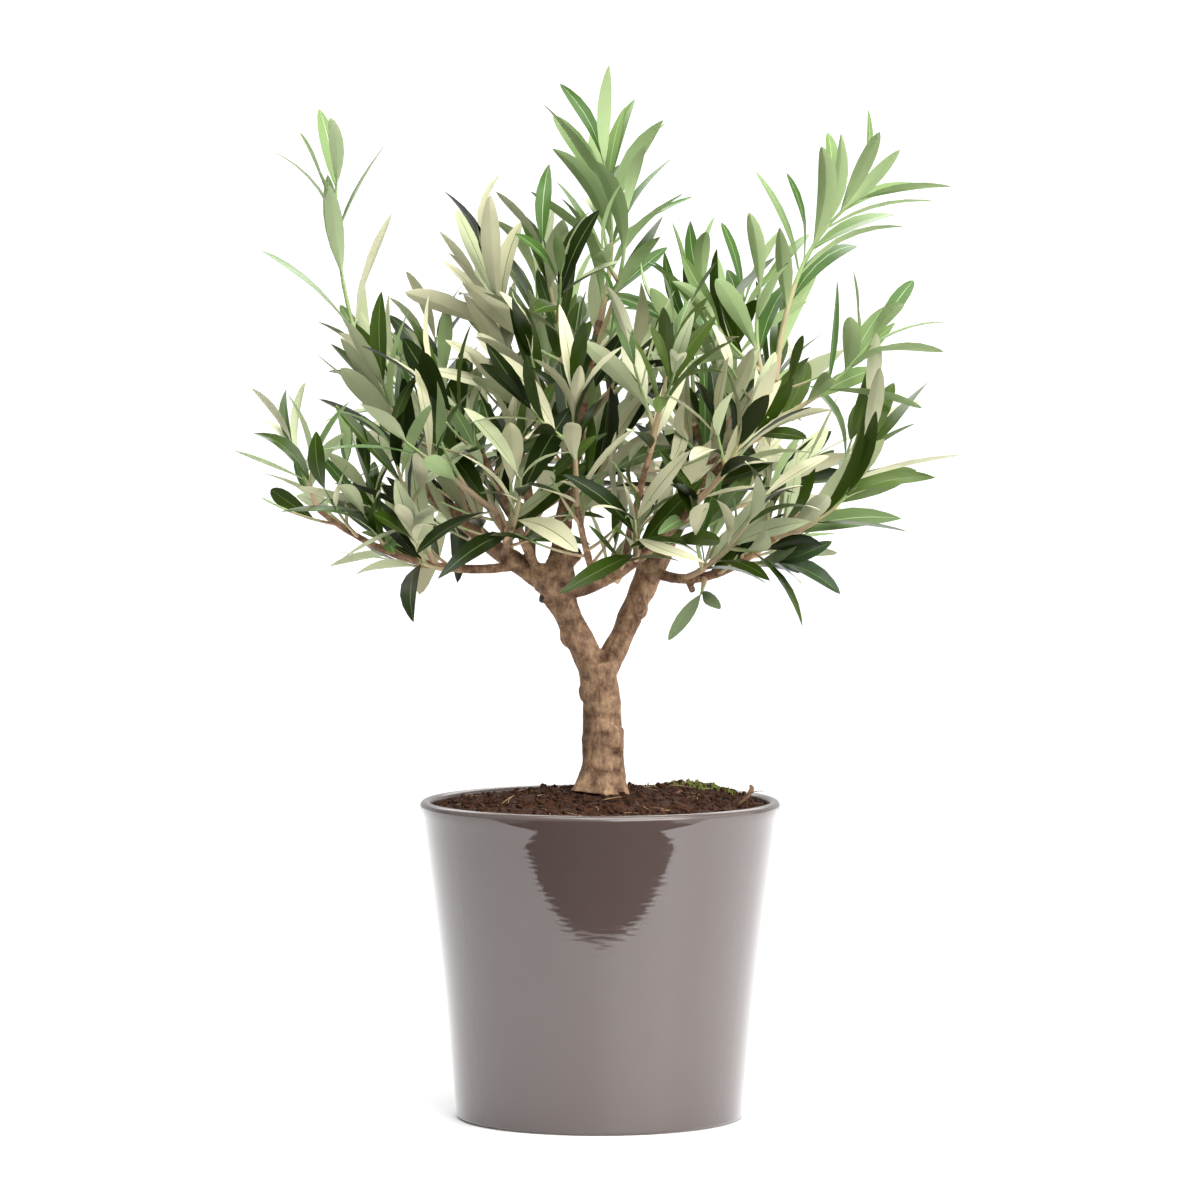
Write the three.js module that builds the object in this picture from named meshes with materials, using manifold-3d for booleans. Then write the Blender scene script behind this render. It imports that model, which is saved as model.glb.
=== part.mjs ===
// Potted olive tree: a young olive with a forked trunk and an open crown, in a glazed conical pot.
// Millimetres, +Z up. The origin is the centre of the pot's flat underside and the front is -Y.
// The tree's own group stands on the soil: its origin is the middle of the trunk's flat foot.
import * as THREE from "three";
import { mergeVertices } from "three/addons/utils/BufferGeometryUtils.js";
import Module from "manifold-3d";

const wasm = await Module();
wasm.setup();

// ---------------------------------------------------------------- driving dimensions

const GAP = 0.3; // clearance left between two pieces that touch
const REACH = 0.45; // how much a leaf or twig is swollen when it looks for room

const POT = {
  height: 168,
  rimRadius: 95,
  footRadius: 75.9,
  hollow: 0.7, // how far the wall's middle lies inside a straight slope
  wall: 5.6,
  floor: 8,
  footRound: 2.5,
  sides: 40,
};

const SOIL = {
  height: 171, // flat seat under the trunk
  seatRadius: 19,
  edgeHeight: 164,
  lump: 1.3,
  mound: { x: 50, y: 48, height: 5, spread: 26 }, // mossy rise behind the trunk
  sides: 28,
  rings: 5,
};

const TRUNK = {
  tip: [-2, 0, 70],
  bow: [2.5, 1, 0],
  radius: [10.4, 9.4],
  flare: 5.2, // how far the root flare stands out at the foot
  flareHeight: 9,
  rootRidges: 5,
};

// A leaf is lance-shaped: its width and thickness are shares of its length.
const LEAF = {
  length: 54,
  width: 0.3,
  thickness: 0.02,
  arch: 0.05,
  sunk: 0.3, // how far the stalk's end lies inside the stem
  stalk: 0.1, // share of the length before the blade
  step: 1.6, // how much lower the second leaf of a pair sits
};

// The opening between stem and leaf closes from the foot of a shoot to its tip.
const OPENING = { foot: 46, tip: 18, jitter: 8 };

// A leaf without room tries these turns about its stem, in degrees, before it is left out.
const TURNS = [0, 24, -24, 48, -48];

const TWIG = {
  radius: 1.55,
  tipRadius: 1.1,
  sides: 3,
  opening: 46, // degrees between shoot and twig
  share: 0.5, // of the shoot's length, for a twig low on it
  shortest: 32,
  longest: 70,
  step: 40, // length of one straight step
};

// Stems and boughs: where each springs from (a share of the limb it is on), where it ends
// above the foot of the trunk, how far its middle bows off the straight line, and its radii.
const LIMBS = [
  {
    name: "left_stem", on: "trunk", at: 0.86, tip: [-26, -4, 114], bow: [0.5, 0, -1],
    radius: [7.8, 6.4], head: 1.35,
  },
  {
    name: "right_stem", on: "trunk", at: 0.84, tip: [31, 8, 130], bow: [0.5, 0, -1],
    radius: [6.2, 6.2], head: 1.25,
  },
  {
    name: "left_bough", on: "left_stem", at: 0.93, tip: [-93, 12, 162], bow: [1, -2, -4],
    radius: [5.8, 3.6],
  },
  { name: "leader", on: "left_stem", at: 0.95, tip: [0, 6, 250], bow: [-1, 0, 0], radius: [5, 2.2] },
  {
    name: "front_bough", on: "left_stem", at: 0.88, tip: [50, -40, 156], bow: [-2, -4, -12],
    radius: [4, 2],
  },
  {
    name: "right_leader", on: "right_stem", at: 0.93, tip: [69, 5, 217], bow: [7, 0, -2],
    radius: [4.7, 2.6],
  },
  {
    name: "right_low_bough", on: "right_stem", at: 0.85, tip: [104, -34, 149], bow: [-4, -7, -16],
    radius: [3, 1.7],
  },
  {
    name: "right_upper_bough", on: "right_leader", at: 0.45, tip: [92, -18, 219], bow: [4, -4, -4],
    radius: [3, 1.8],
  },
  {
    name: "right_back_bough", on: "right_stem", at: 0.78, tip: [72, 72, 186], bow: [-4, 4, -8],
    radius: [3.8, 2],
  },
  {
    name: "low_left_bough", on: "left_bough", at: 0.28, tip: [-147, -34, 152], bow: [-2, -8, -12],
    radius: [2.6, 1.5],
  },
  {
    name: "mid_left_bough", on: "left_bough", at: 0.12, tip: [-68, -40, 193], bow: [3, -6, -3],
    radius: [2.8, 1.7],
  },
  {
    name: "upright_left_bough", on: "left_bough", at: 0.2, tip: [-50, 10, 208], bow: [5, 2, 0],
    radius: [3.2, 1.9],
  },
  {
    name: "fore_left_bough", on: "left_bough", at: 0.42, tip: [-54, -34, 150], bow: [4, -4, -5],
    radius: [2.4, 1.7],
  },
  {
    name: "back_left_bough", on: "left_bough", at: 0.55, tip: [-98, 74, 188], bow: [4, 4, -6],
    radius: [3, 1.8],
  },
  {
    name: "front_twig", on: "front_bough", at: 0.52, tip: [26, -58, 183], bow: [-2, -3, -4],
    radius: [2.4, 1.6],
  },
  {
    name: "front_left_twig", on: "front_bough", at: 0.32, tip: [-12, -52, 155], bow: [0, -4, -5],
    radius: [2.3, 1.5],
  },
  {
    name: "back_bough", on: "leader", at: 0.2, tip: [-18, 80, 205], bow: [0, 5, -8],
    radius: [3.3, 1.8],
  },
];

// Masses of foliage, each one branching stem of leaves: the limb it grows from, the tip of its
// main shoot, that shoot's bow, its pairs of leaves, the bare share below the first pair, the
// turn of the first pair about the stem (0 is across the front view) and its side twigs. Some
// also have a size of leaf and the openings, in degrees, of the first pair and of the last.
const MASSES = [
  {
    name: "left_sprig", on: "left_bough", at: 0.96, tip: [-139, 14, 322], bow: [-14, 0, 0],
    pairs: 4, bare: 0.53, turn: 8, twigs: 0, leaf: 1.18, spread: 30, close: 40,
  },
  {
    name: "top_sprig", on: "leader", at: 1, tip: [2, 10, 332], bow: [5, 0, 0],
    pairs: 6, bare: 0.1, turn: 45, twigs: 1, leaf: 1.18, spread: 50, close: 26,
  },
  {
    name: "right_tall_sprig", on: "right_upper_bough", at: 1, tip: [136, -10, 314], bow: [-8, 0, 12],
    pairs: 6, bare: 0.3, turn: 63, twigs: 0, leaf: 1.12, spread: 42, close: 44,
  },
  {
    name: "right_mid_sprig", on: "right_upper_bough", at: 0.62, tip: [143, -30, 242], bow: [3, 0, -6],
    pairs: 5, bare: 0.4, turn: 75, twigs: 0, spread: 60, close: 44,
  },
  {
    name: "right_low_sprig", on: "right_low_bough", at: 1, tip: [143, -38, 197], bow: [6, 0, -3],
    pairs: 4, bare: 0.1, turn: 60, twigs: 1, leaf: 1.1, spread: 30, close: 34,
  },
  {
    name: "far_left_spray", on: "low_left_bough", at: 1, tip: [-150, -36, 174], bow: [-2, 0, 0],
    pairs: 3, bare: 0.05, turn: 30, twigs: 1, leaf: 0.95, spread: 80, close: 24,
  },
  {
    name: "right_low_spray", on: "right_low_bough", at: 0.86, tip: [128, -52, 160], bow: [0, -2, -4],
    pairs: 3, bare: 0.15, turn: 60, twigs: 0, leaf: 1.16, spread: 30, close: 34,
  },
  {
    name: "right_hanging_leaves", on: "right_low_bough", at: 0.42, tip: [53, -32, 108], bow: [0, 0, 0],
    pairs: 1, bare: 1, turn: 45, twigs: 0, leaf: 0.62, spread: 30,
  },
  {
    name: "right_outer_leaves", on: "right_low_bough", at: 0.62, tip: [91, -44, 125], bow: [0, 0, 0],
    pairs: 2, bare: 0.55, turn: 40, twigs: 0, leaf: 0.86, spread: 22, close: 28,
  },
  {
    name: "left_hanging_leaves", on: "low_left_bough", at: 0.3, tip: [-94, -34, 125], bow: [0, 0, -2],
    pairs: 1, bare: 1, turn: 60, twigs: 0, leaf: 1.08, spread: 60,
  },
  {
    name: "low_left_spray", on: "low_left_bough", at: 0.4, tip: [-108, -44, 186], bow: [-2, -3, 0],
    pairs: 4, bare: 0.1, turn: 120, twigs: 2, leaf: 1.02, spread: 36, close: 42,
  },
  {
    name: "left_spray", on: "left_bough", at: 0.82, tip: [-114, 4, 217], bow: [-5, 0, 0],
    pairs: 5, bare: 0.1, turn: 60, twigs: 1, leaf: 1.06, spread: 40, close: 24,
  },
  {
    name: "fore_left_spray", on: "fore_left_bough", at: 1, tip: [-100, -66, 188], bow: [-3, -4, 3],
    pairs: 4, bare: 0.05, turn: 15, twigs: 2, leaf: 1.05, spread: 58, close: 24,
  },
  {
    name: "low_fore_left_spray", on: "fore_left_bough", at: 0.6, tip: [-41, -74, 170], bow: [2, -4, -3],
    pairs: 4, bare: 0.1, turn: 60, twigs: 1, leaf: 1.06, spread: 58, close: 42,
  },
  {
    name: "mid_left_spray", on: "mid_left_bough", at: 1, tip: [-84, -44, 216], bow: [-3, 0, 0],
    pairs: 4, bare: 0.1, turn: 10, twigs: 1,
  },
  {
    name: "upright_left_spray", on: "upright_left_bough", at: 1, tip: [-58, 5, 276], bow: [3, 0, 0],
    pairs: 5, bare: 0.05, turn: 30, twigs: 1, leaf: 1.08, spread: 32,
  },
  {
    name: "upper_left_spray", on: "leader", at: 0.7, tip: [-30, -14, 290], bow: [-3, 0, 0],
    pairs: 4, bare: 0.1, turn: 105, twigs: 2, spread: 44, close: 34,
  },
  {
    name: "top_right_spray", on: "leader", at: 0.88, tip: [14, -8, 304], bow: [4, 0, 0],
    pairs: 4, bare: 0.1, turn: 30, twigs: 2, leaf: 1.06, spread: 48,
  },
  {
    name: "right_crown_spray", on: "right_leader", at: 0.78, tip: [54, -6, 266], bow: [0, 0, 0],
    pairs: 4, bare: 0.1, turn: 0, twigs: 2, close: 42,
  },
  {
    name: "right_top_spray", on: "right_upper_bough", at: 0.86, tip: [84, -14, 267], bow: [-4, 0, 0],
    pairs: 4, bare: 0.05, turn: 150, twigs: 2, leaf: 1.05, spread: 50, close: 42,
  },
  {
    name: "front_centre_spray", on: "front_twig", at: 1, tip: [38, -76, 238], bow: [0, -4, 0],
    pairs: 4, bare: 0.05, turn: 75, twigs: 2,
  },
  {
    name: "front_left_centre_spray", on: "front_left_twig", at: 1, tip: [-14, -76, 214], bow: [0, -4, 0],
    pairs: 4, bare: 0.05, turn: 15, twigs: 2,
  },
  {
    name: "front_rosette", on: "front_bough", at: 0.6, tip: [18, -68, 148], bow: [0, -2, 0],
    pairs: 3, bare: 0.2, turn: 45, twigs: 0, leaf: 1.02, spread: 60, close: 42,
  },
  {
    name: "front_right_spray", on: "front_bough", at: 1, tip: [76, -66, 196], bow: [2, -4, -2],
    pairs: 4, bare: 0.05, turn: 20, twigs: 2,
  },
  {
    name: "low_right_spray", on: "right_low_bough", at: 0.26, tip: [84, -64, 160], bow: [2, -4, -6],
    pairs: 4, bare: 0.25, turn: 150, twigs: 2, spread: 32, close: 42,
  },
  {
    name: "right_leader_spray", on: "right_leader", at: 0.93, tip: [76, 28, 258], bow: [0, 3, 0],
    pairs: 4, bare: 0.1, turn: 80, twigs: 1,
  },
  {
    name: "inner_right_spray", on: "right_leader", at: 0.36, tip: [66, -26, 206], bow: [-2, -3, -2],
    pairs: 4, bare: 0.1, turn: 20, twigs: 2,
  },
  {
    name: "centre_spray", on: "leader", at: 0.45, tip: [-36, -34, 232], bow: [-2, -3, 0],
    pairs: 4, bare: 0.1, turn: 55, twigs: 1,
  },
  {
    name: "low_centre_spray", on: "leader", at: 0.22, tip: [8, -30, 190], bow: [2, -3, -2],
    pairs: 4, bare: 0.1, turn: 30, twigs: 1,
  },
  {
    name: "centre_right_spray", on: "leader", at: 0.58, tip: [26, -26, 248], bow: [0, -2, -3],
    pairs: 4, bare: 0.15, turn: 5, twigs: 1,
  },
  {
    name: "left_mid_spray", on: "left_bough", at: 0.68, tip: [-84, 34, 216], bow: [0, 3, 0],
    pairs: 4, bare: 0.1, turn: 45, twigs: 1,
  },
  {
    name: "right_back_spray", on: "right_back_bough", at: 1, tip: [98, 98, 230], bow: [3, 3, -3],
    pairs: 4, bare: 0.05, turn: 30, twigs: 1,
  },
  {
    name: "right_back_top_spray", on: "right_back_bough", at: 0.74, tip: [50, 78, 258], bow: [-3, 4, 0],
    pairs: 4, bare: 0.15, turn: 70, twigs: 1,
  },
  {
    name: "right_back_low_spray", on: "right_back_bough", at: 0.5, tip: [112, 48, 176], bow: [2, 2, -6],
    pairs: 3, bare: 0.25, turn: 10, twigs: 1,
  },
  {
    name: "back_spray", on: "back_bough", at: 1, tip: [-14, 110, 248], bow: [0, 5, -2],
    pairs: 4, bare: 0.05, turn: 50, twigs: 1,
  },
  {
    name: "back_top_spray", on: "back_bough", at: 0.72, tip: [-34, 58, 270], bow: [-3, 3, 0],
    pairs: 4, bare: 0.15, turn: 135, twigs: 1, spread: 36, close: 34,
  },
  {
    name: "back_low_spray", on: "back_bough", at: 0.5, tip: [22, 98, 180], bow: [2, 3, -5],
    pairs: 3, bare: 0.25, turn: 65, twigs: 1,
  },
  {
    name: "back_left_spray", on: "back_left_bough", at: 1, tip: [-124, 100, 228], bow: [-3, 3, -3],
    pairs: 4, bare: 0.05, turn: 25, twigs: 1,
  },
  {
    name: "back_left_top_spray", on: "back_left_bough", at: 0.74, tip: [-88, 72, 240], bow: [-3, 3, 0],
    pairs: 4, bare: 0.15, turn: 135, twigs: 1, spread: 50, close: 34,
  },
  {
    name: "back_left_low_spray", on: "back_left_bough", at: 0.52, tip: [-70, 110, 169], bow: [-2, 4, -5],
    pairs: 3, bare: 0.25, turn: 45, twigs: 1, leaf: 1.06, spread: 50, close: 24,
  },
];

const COLOURS = {
  glaze: { color: 0x6f6260, roughness: 0.18, metalness: 0 },
  soil: { color: 0x4b3527, roughness: 0.95, metalness: 0 },
  bark: { color: 0x8a715c, roughness: 0.85, metalness: 0 },
  foliage: { color: 0x5f7a4a, roughness: 0.6, metalness: 0 },
};

// ---------------------------------------------------------------- small helpers

const vector = (xyz) => new THREE.Vector3(...xyz);
const mix = THREE.MathUtils.lerp;
const radians = THREE.MathUtils.degToRad;

// A repeatable stream of numbers from 0 to 1.
function seeded(seed) {
  let state = seed >>> 0;
  return () => {
    state = (state + 0x6d2b79f5) >>> 0;
    let mixed = Math.imul(state ^ (state >>> 15), 1 | state);
    mixed = (mixed + Math.imul(mixed ^ (mixed >>> 7), 61 | mixed)) ^ mixed;
    return ((mixed ^ (mixed >>> 14)) >>> 0) / 4294967296;
  };
}

// A closed geometry as a solid that can be joined and cut.
function solidOf(geometry) {
  geometry.deleteAttribute("normal");
  geometry.deleteAttribute("uv");
  const merged = mergeVertices(geometry, 1e-4);
  return new wasm.Manifold(
    new wasm.Mesh({
      numProp: 3,
      vertProperties: merged.attributes.position.array,
      triVerts: new Uint32Array(merged.index.array),
    }),
  );
}

// A solid's largest piece as a geometry, without the slivers and scraps that a cut leaves.
function geometryOf(solid) {
  const pieces = solid.simplify(0.02).decompose();
  const largest = pieces.reduce((best, piece) => (piece.volume() > best.volume() ? piece : best));
  const mesh = largest.getMesh();
  return new THREE.BufferGeometry()
    .setAttribute("position", new THREE.BufferAttribute(mesh.vertProperties, 3))
    .setIndex(new THREE.BufferAttribute(mesh.triVerts, 1));
}

function named(name, geometry, colour) {
  geometry.computeVertexNormals();
  const material = new THREE.MeshStandardMaterial({ ...COLOURS[colour], flatShading: true });
  const mesh = new THREE.Mesh(geometry, material);
  mesh.name = name;
  return mesh;
}

// ---------------------------------------------------------------- curves, limbs and leaves

// A limb's centreline: one arc from base to tip whose middle stands off the chord by bow.
class Centreline {
  constructor(base, tip, bow) {
    const control = base.clone().add(tip).multiplyScalar(0.5).addScaledVector(bow, 2);
    this.curve = new THREE.QuadraticBezierCurve3(base, control, tip);
    this.length = this.curve.getLength();
    this.across = tip.clone().sub(base).cross(control.clone().sub(base));
    if (this.across.length() < 1) this.across = tip.clone().sub(base).cross(new THREE.Vector3(0.3, 1, 0));
    this.across.normalize();
  }

  // Point, direction and the two directions across the curve at a share of its length.
  at(share) {
    const along = this.curve.getTangent(share);
    const side = along.clone().cross(this.across).normalize();
    return { point: this.curve.getPoint(share), along, side, across: this.across };
  }

  // The point at a share of a rod that follows this line in straight steps.
  onRod(share, steps) {
    const ring = Math.min(Math.floor(share * steps), steps - 1);
    const [low, high] = [ring, ring + 1].map((n) => this.curve.getPoint(n / steps));
    return low.lerp(high, share * steps - ring);
  }

  // The direction that stands off the curve at an angle about it, from the front view's plane.
  around(share, angle) {
    const along = this.curve.getTangent(share);
    const flat = new THREE.Vector3(0, 1, 0).cross(along).normalize();
    const deep = along.clone().cross(flat);
    return flat.multiplyScalar(Math.cos(angle)).addScaledVector(deep, Math.sin(angle));
  }
}

// A round rod along a centreline. radiusAt gives the radius for a share and an angle.
function rod(line, radiusAt, sides, steps) {
  const geometry = new THREE.CylinderGeometry(1, 1, 1, sides, steps);
  const position = geometry.getAttribute("position");
  for (let i = 0; i < position.count; i += 1) {
    const share = position.getY(i) + 0.5;
    const [x, z] = [position.getX(i), position.getZ(i)];
    const frame = line.at(share);
    const radius = radiusAt(share, Math.atan2(z, x));
    frame.point.addScaledVector(frame.side, x * radius).addScaledVector(frame.across, z * radius);
    position.setXYZ(i, frame.point.x, frame.point.y, frame.point.z);
  }
  return geometry;
}

// One tapering limb with a collar where it springs off and, on a stem, a swollen head.
function limbRadius(limb) {
  const [thick, thin] = limb.radius;
  const head = limb.head ?? 1;
  return (share) => {
    const collar = 1 + 0.22 * Math.exp(-share * 14);
    const swelling = 1 + (head - 1) * Math.exp(-(((share - 0.9) / 0.16) ** 2));
    return mix(thick, thin, share ** 0.85) * collar * swelling;
  };
}

// The trunk's radius: root flare with ridges at the foot, then a slight waist below the fork.
function trunkRadius(share, angle) {
  const rise = (share * TRUNK.tip[2]) / TRUNK.flareHeight;
  const ridge = 1 + 0.3 * Math.cos(TRUNK.rootRidges * angle + 0.7);
  return mix(TRUNK.radius[0], TRUNK.radius[1], share ** 2) + TRUNK.flare * Math.exp(-rise) * ridge;
}

// A leaf as a long eight-sided diamond, arched along its length. A blade is the leaf without
// the stalk end that is fused to its stem.
function leafGeometry({ root, along, face, length, blade = false, swell = 0 }) {
  const geometry = new THREE.OctahedronGeometry(1, 0);
  const position = geometry.getAttribute("position");
  const side = face.clone().cross(along);
  const start = blade ? LEAF.stalk * length : -LEAF.sunk - swell;
  const halfWidth = (length * LEAF.width) / 2 + swell;
  const halfThickness = (length * LEAF.thickness) / 2 + swell;
  for (let i = 0; i < position.count; i += 1) {
    const [x, y, z] = [position.getX(i), position.getY(i), position.getZ(i)];
    const arch = LEAF.arch * length * (1 - x * x);
    const point = root
      .clone()
      .addScaledVector(along, mix(start, length + swell, (x + 1) / 2))
      .addScaledVector(side, y * halfWidth)
      .addScaledVector(face, z * halfThickness + arch);
    position.setXYZ(i, point.x, point.y, point.z);
  }
  return geometry;
}

// ---------------------------------------------------------------- the growth rule

const twigSteps = (line) => Math.max(2, Math.round(line.length / TWIG.step));

// The leaves of one shoot: opposite pairs, each pair turned a quarter from the last, closing
// towards the tip, with the upper face turned partly to the sky. Each leaf is a function of
// the turn that it may still take to find room.
function leavesOn(line, rule, random) {
  const { pairs, bare, turn, leaf = 1, spread = OPENING.foot, close = OPENING.tip } = rule;
  const leaves = [];
  for (let pair = 0; pair < pairs; pair += 1) {
    const share = pairs === 1 ? 0.98 : mix(bare, 0.985, (pair / (pairs - 1)) ** 0.9);
    const closing = pairs === 1 ? 0 : pair / (pairs - 1);
    for (const half of [0, 1]) {
      const angle = radians(turn + 90 * pair + 180 * half + (random() - 0.5) * 30);
      const opening = radians(mix(spread, close, closing) + (random() - 0.5) * 2 * OPENING.jitter);
      const length = LEAF.length * leaf * mix(1, 0.84, closing ** 3) * (0.88 + 0.24 * random());
      const lift = 0.3 + 0.5 * random();
      leaves.push((shift) => {
        const stem = line.curve.getTangent(share);
        const root = line.onRod(share - (half * LEAF.step) / line.length, twigSteps(line));
        const off = line.around(share, angle + radians(shift));
        const along = stem.clone().multiplyScalar(Math.cos(opening)).addScaledVector(off, Math.sin(opening));
        const face = stem.clone().multiplyScalar(Math.sin(opening)).addScaledVector(off, -Math.cos(opening));
        face.z += lift;
        face.addScaledVector(along, -face.dot(along)).normalize();
        return { root, along, face, length };
      });
    }
  }
  return leaves;
}

// The side twigs of a shoot: they leave it in its lower half, open like a fork, and turn up.
function twigsOn(line, { twigs, turn }, random) {
  const found = [];
  for (let n = 0; n < twigs; n += 1) {
    const share = mix(0.12, 0.62, (n + 0.3 + 0.4 * random()) / twigs);
    const angle = radians(turn + 45 + 137 * n + 40 * random());
    const opening = radians(TWIG.opening + 10 * (random() - 0.5));
    const length = Math.min(Math.max(line.length * TWIG.share * (1.1 - share), TWIG.shortest), TWIG.longest);
    const along = line.curve.getTangent(share);
    const off = line.around(share, angle);
    const point = line.onRod(share, twigSteps(line));
    const tip = point
      .clone()
      .addScaledVector(along, length * Math.cos(opening))
      .addScaledVector(off, length * Math.sin(opening));
    tip.z += 0.12 * length;
    found.push({ line: new Centreline(point, tip, new THREE.Vector3(0, 0, -0.05 * length)), share });
  }
  return found;
}

function twigSolid(line, thick, swell = 0) {
  const radiusAt = (share) => mix(thick, TWIG.tipRadius, share) + swell;
  return solidOf(rod(line, radiusAt, TWIG.sides, twigSteps(line)));
}

// ---------------------------------------------------------------- pot and soil

const arcPoints = (x, y, radius, from, to, steps) =>
  Array.from({ length: steps + 1 }, (_, i) => {
    const angle = radians(mix(from, to, i / steps));
    return new THREE.Vector2(x + radius * Math.cos(angle), y + radius * Math.sin(angle));
  });

// The wall's outer radius at a height: a straight slope, drawn in a little at mid-height.
function potRadius(height) {
  const share = height / POT.height;
  return mix(POT.footRadius, POT.rimRadius, share) - 4 * POT.hollow * share * (1 - share);
}

// The inner face of the wall slopes straight from rim to floor.
function innerRadius(height) {
  const share = (height - POT.floor) / (POT.height - POT.floor);
  return mix(potRadius(POT.floor), POT.rimRadius, share) - POT.wall;
}

// The pot's wall and floor turned about its axis, with a half-round rim.
function potGeometry() {
  const lip = POT.wall / 2;
  const rimHeight = POT.height - lip;
  const heights = [0.33, 0.66].map((share) => share * POT.height);
  const profile = [
    new THREE.Vector2(0, 0),
    ...arcPoints(potRadius(POT.footRound) - POT.footRound, POT.footRound, POT.footRound, -90, 0, 2),
    ...heights.map((height) => new THREE.Vector2(potRadius(height), height)),
    ...arcPoints(POT.rimRadius - lip, rimHeight, lip, 0, 180, 4),
    new THREE.Vector2(innerRadius(POT.floor), POT.floor),
    new THREE.Vector2(0, POT.floor),
  ];
  return new THREE.LatheGeometry(profile, POT.sides).rotateX(Math.PI / 2);
}

// Height of the soil at a place: a low mound, uneven, with a flat seat under the trunk.
function soilHeight(x, y) {
  const distance = Math.hypot(x, y);
  if (distance < SOIL.seatRadius + 1) return SOIL.height;
  const share = (distance - SOIL.seatRadius) / (POT.rimRadius - POT.wall - SOIL.seatRadius);
  const waves = Math.sin(0.11 * x + 1.3) * Math.cos(0.13 * y) + Math.sin(0.21 * y - 0.09 * x);
  const lump = SOIL.lump * waves * Math.min(1, 3 * share) * (1.15 - share);
  const { mound } = SOIL;
  const away = Math.hypot(x - mound.x, y - mound.y);
  const rise = mound.height * Math.exp(-((away / mound.spread) ** 2));
  return mix(SOIL.height, SOIL.edgeHeight, share ** 1.6) + lump + rise;
}

// The pot's filling: wall side up to its edge, then rings over the uneven top.
function soilGeometry() {
  const low = POT.floor + GAP;
  const edge = innerRadius(SOIL.edgeHeight) - GAP;
  const profile = [new THREE.Vector2(0, low), new THREE.Vector2(innerRadius(low) - GAP, low)];
  for (let ring = 0; ring < SOIL.rings; ring += 1) {
    profile.push(new THREE.Vector2(mix(edge, SOIL.seatRadius, ring / (SOIL.rings - 1)), SOIL.edgeHeight));
  }
  profile.push(new THREE.Vector2(0, SOIL.edgeHeight));
  const geometry = new THREE.LatheGeometry(profile, SOIL.sides).rotateX(Math.PI / 2);
  const position = geometry.getAttribute("position");
  for (let i = 0; i < position.count; i += 1) {
    if (position.getZ(i) < SOIL.edgeHeight - 1) continue;
    position.setZ(i, soilHeight(position.getX(i), position.getY(i)));
  }
  return geometry;
}

// ---------------------------------------------------------------- the tree

// Centrelines of trunk and limbs, each springing from the one it is on.
const lines = new Map();
lines.set("trunk", new Centreline(new THREE.Vector3(0, 0, GAP), vector(TRUNK.tip), vector(TRUNK.bow)));
for (const { name, on, at, tip, bow } of LIMBS) {
  lines.set(name, new Centreline(lines.get(on).at(at).point, vector(tip), vector(bow)));
}

// The trunk is cut flat at its foot, whichever way it leans.
function trunkSolid(swell) {
  const steps = 7;
  const geometry = rod(lines.get("trunk"), (share, angle) => trunkRadius(share, angle) + swell, 16, steps);
  const position = geometry.getAttribute("position");
  for (let i = 0; i < position.count; i += 1) {
    if (position.getZ(i) < TRUNK.tip[2] / steps / 2) position.setZ(i, GAP);
  }
  return solidOf(geometry);
}

// A limb has fewer sides and rings the thinner and shorter it is.
function limbSolid(limb, swell) {
  const radiusAt = limbRadius(limb);
  const line = lines.get(limb.name);
  const sides = limb.radius[0] > 4.5 ? 10 : 6;
  const steps = Math.max(3, Math.round(line.length / 24));
  return solidOf(rod(line, (share) => radiusAt(share) + swell, sides, steps));
}

// Trunk and limbs as solids: each limb is cut clear of those that were there before it.
const wood = new Map([["trunk", trunkSolid(0)]]);
const swollenWood = [trunkSolid(GAP)];
for (const limb of LIMBS) {
  wood.set(limb.name, wasm.Manifold.difference([limbSolid(limb, 0), ...swollenWood]));
  swollenWood.push(limbSolid(limb, GAP));
}
const woodTogether = wasm.Manifold.union([...wood.values()]);

// The main shoot of each mass starts on its limb and is cut back to stand clear of the wood.
const shoots = MASSES.map((mass, index) => {
  const start = lines.get(mass.on).at(mass.at).point;
  const line = new Centreline(start, vector(mass.tip), vector(mass.bow));
  const limb = LIMBS.find(({ name }) => name === mass.on);
  const thick = Math.min(TWIG.radius * 1.25, limb.radius[1] * 1.1);
  const random = seeded(101 + 7 * index);
  return { mass, line, stem: twigSolid(line, thick), swollen: twigSolid(line, thick, GAP), random };
});

const overlaps = (one, other) => !one.intersect(other).isEmpty();

// One mass of foliage: its shoot, side twigs and leaves, fused. A twig or leaf that would
// touch a limb, another shoot or an earlier mass is left out, and so is a leaf whose blade
// would cross one of its own mass.
function growMass({ mass, line, stem, random }, taken) {
  const pieces = [stem];
  const blades = [stem];
  const free = (solid) => !taken.some((other) => overlaps(solid, other));
  const addLeaf = (leafAt) => {
    for (const shift of TURNS) {
      const leaf = leafAt(shift);
      const blade = solidOf(leafGeometry({ ...leaf, blade: true }));
      if (blades.some((other) => overlaps(blade, other))) continue;
      if (!free(solidOf(leafGeometry({ ...leaf, swell: REACH })))) continue;
      pieces.push(solidOf(leafGeometry(leaf)));
      blades.push(blade);
      return;
    }
  };
  const roomFor = ({ line: twig }) => free(twigSolid(twig, TWIG.radius, REACH));
  const twigs = twigsOn(line, mass, random).filter(roomFor);
  for (const { line: twig, share } of twigs) {
    const solid = twigSolid(twig, TWIG.radius * (1 - 0.25 * share));
    pieces.push(solid);
    blades.push(solid);
  }
  leavesOn(line, mass, random).forEach(addLeaf);
  for (const { line: twig } of twigs) {
    const rule = { pairs: 3, bare: 0.4, turn: 90 * random(), leaf: 0.92 * (mass.leaf ?? 1) };
    leavesOn(twig, rule, random).forEach(addLeaf);
  }
  return wasm.Manifold.union(pieces);
}

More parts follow.
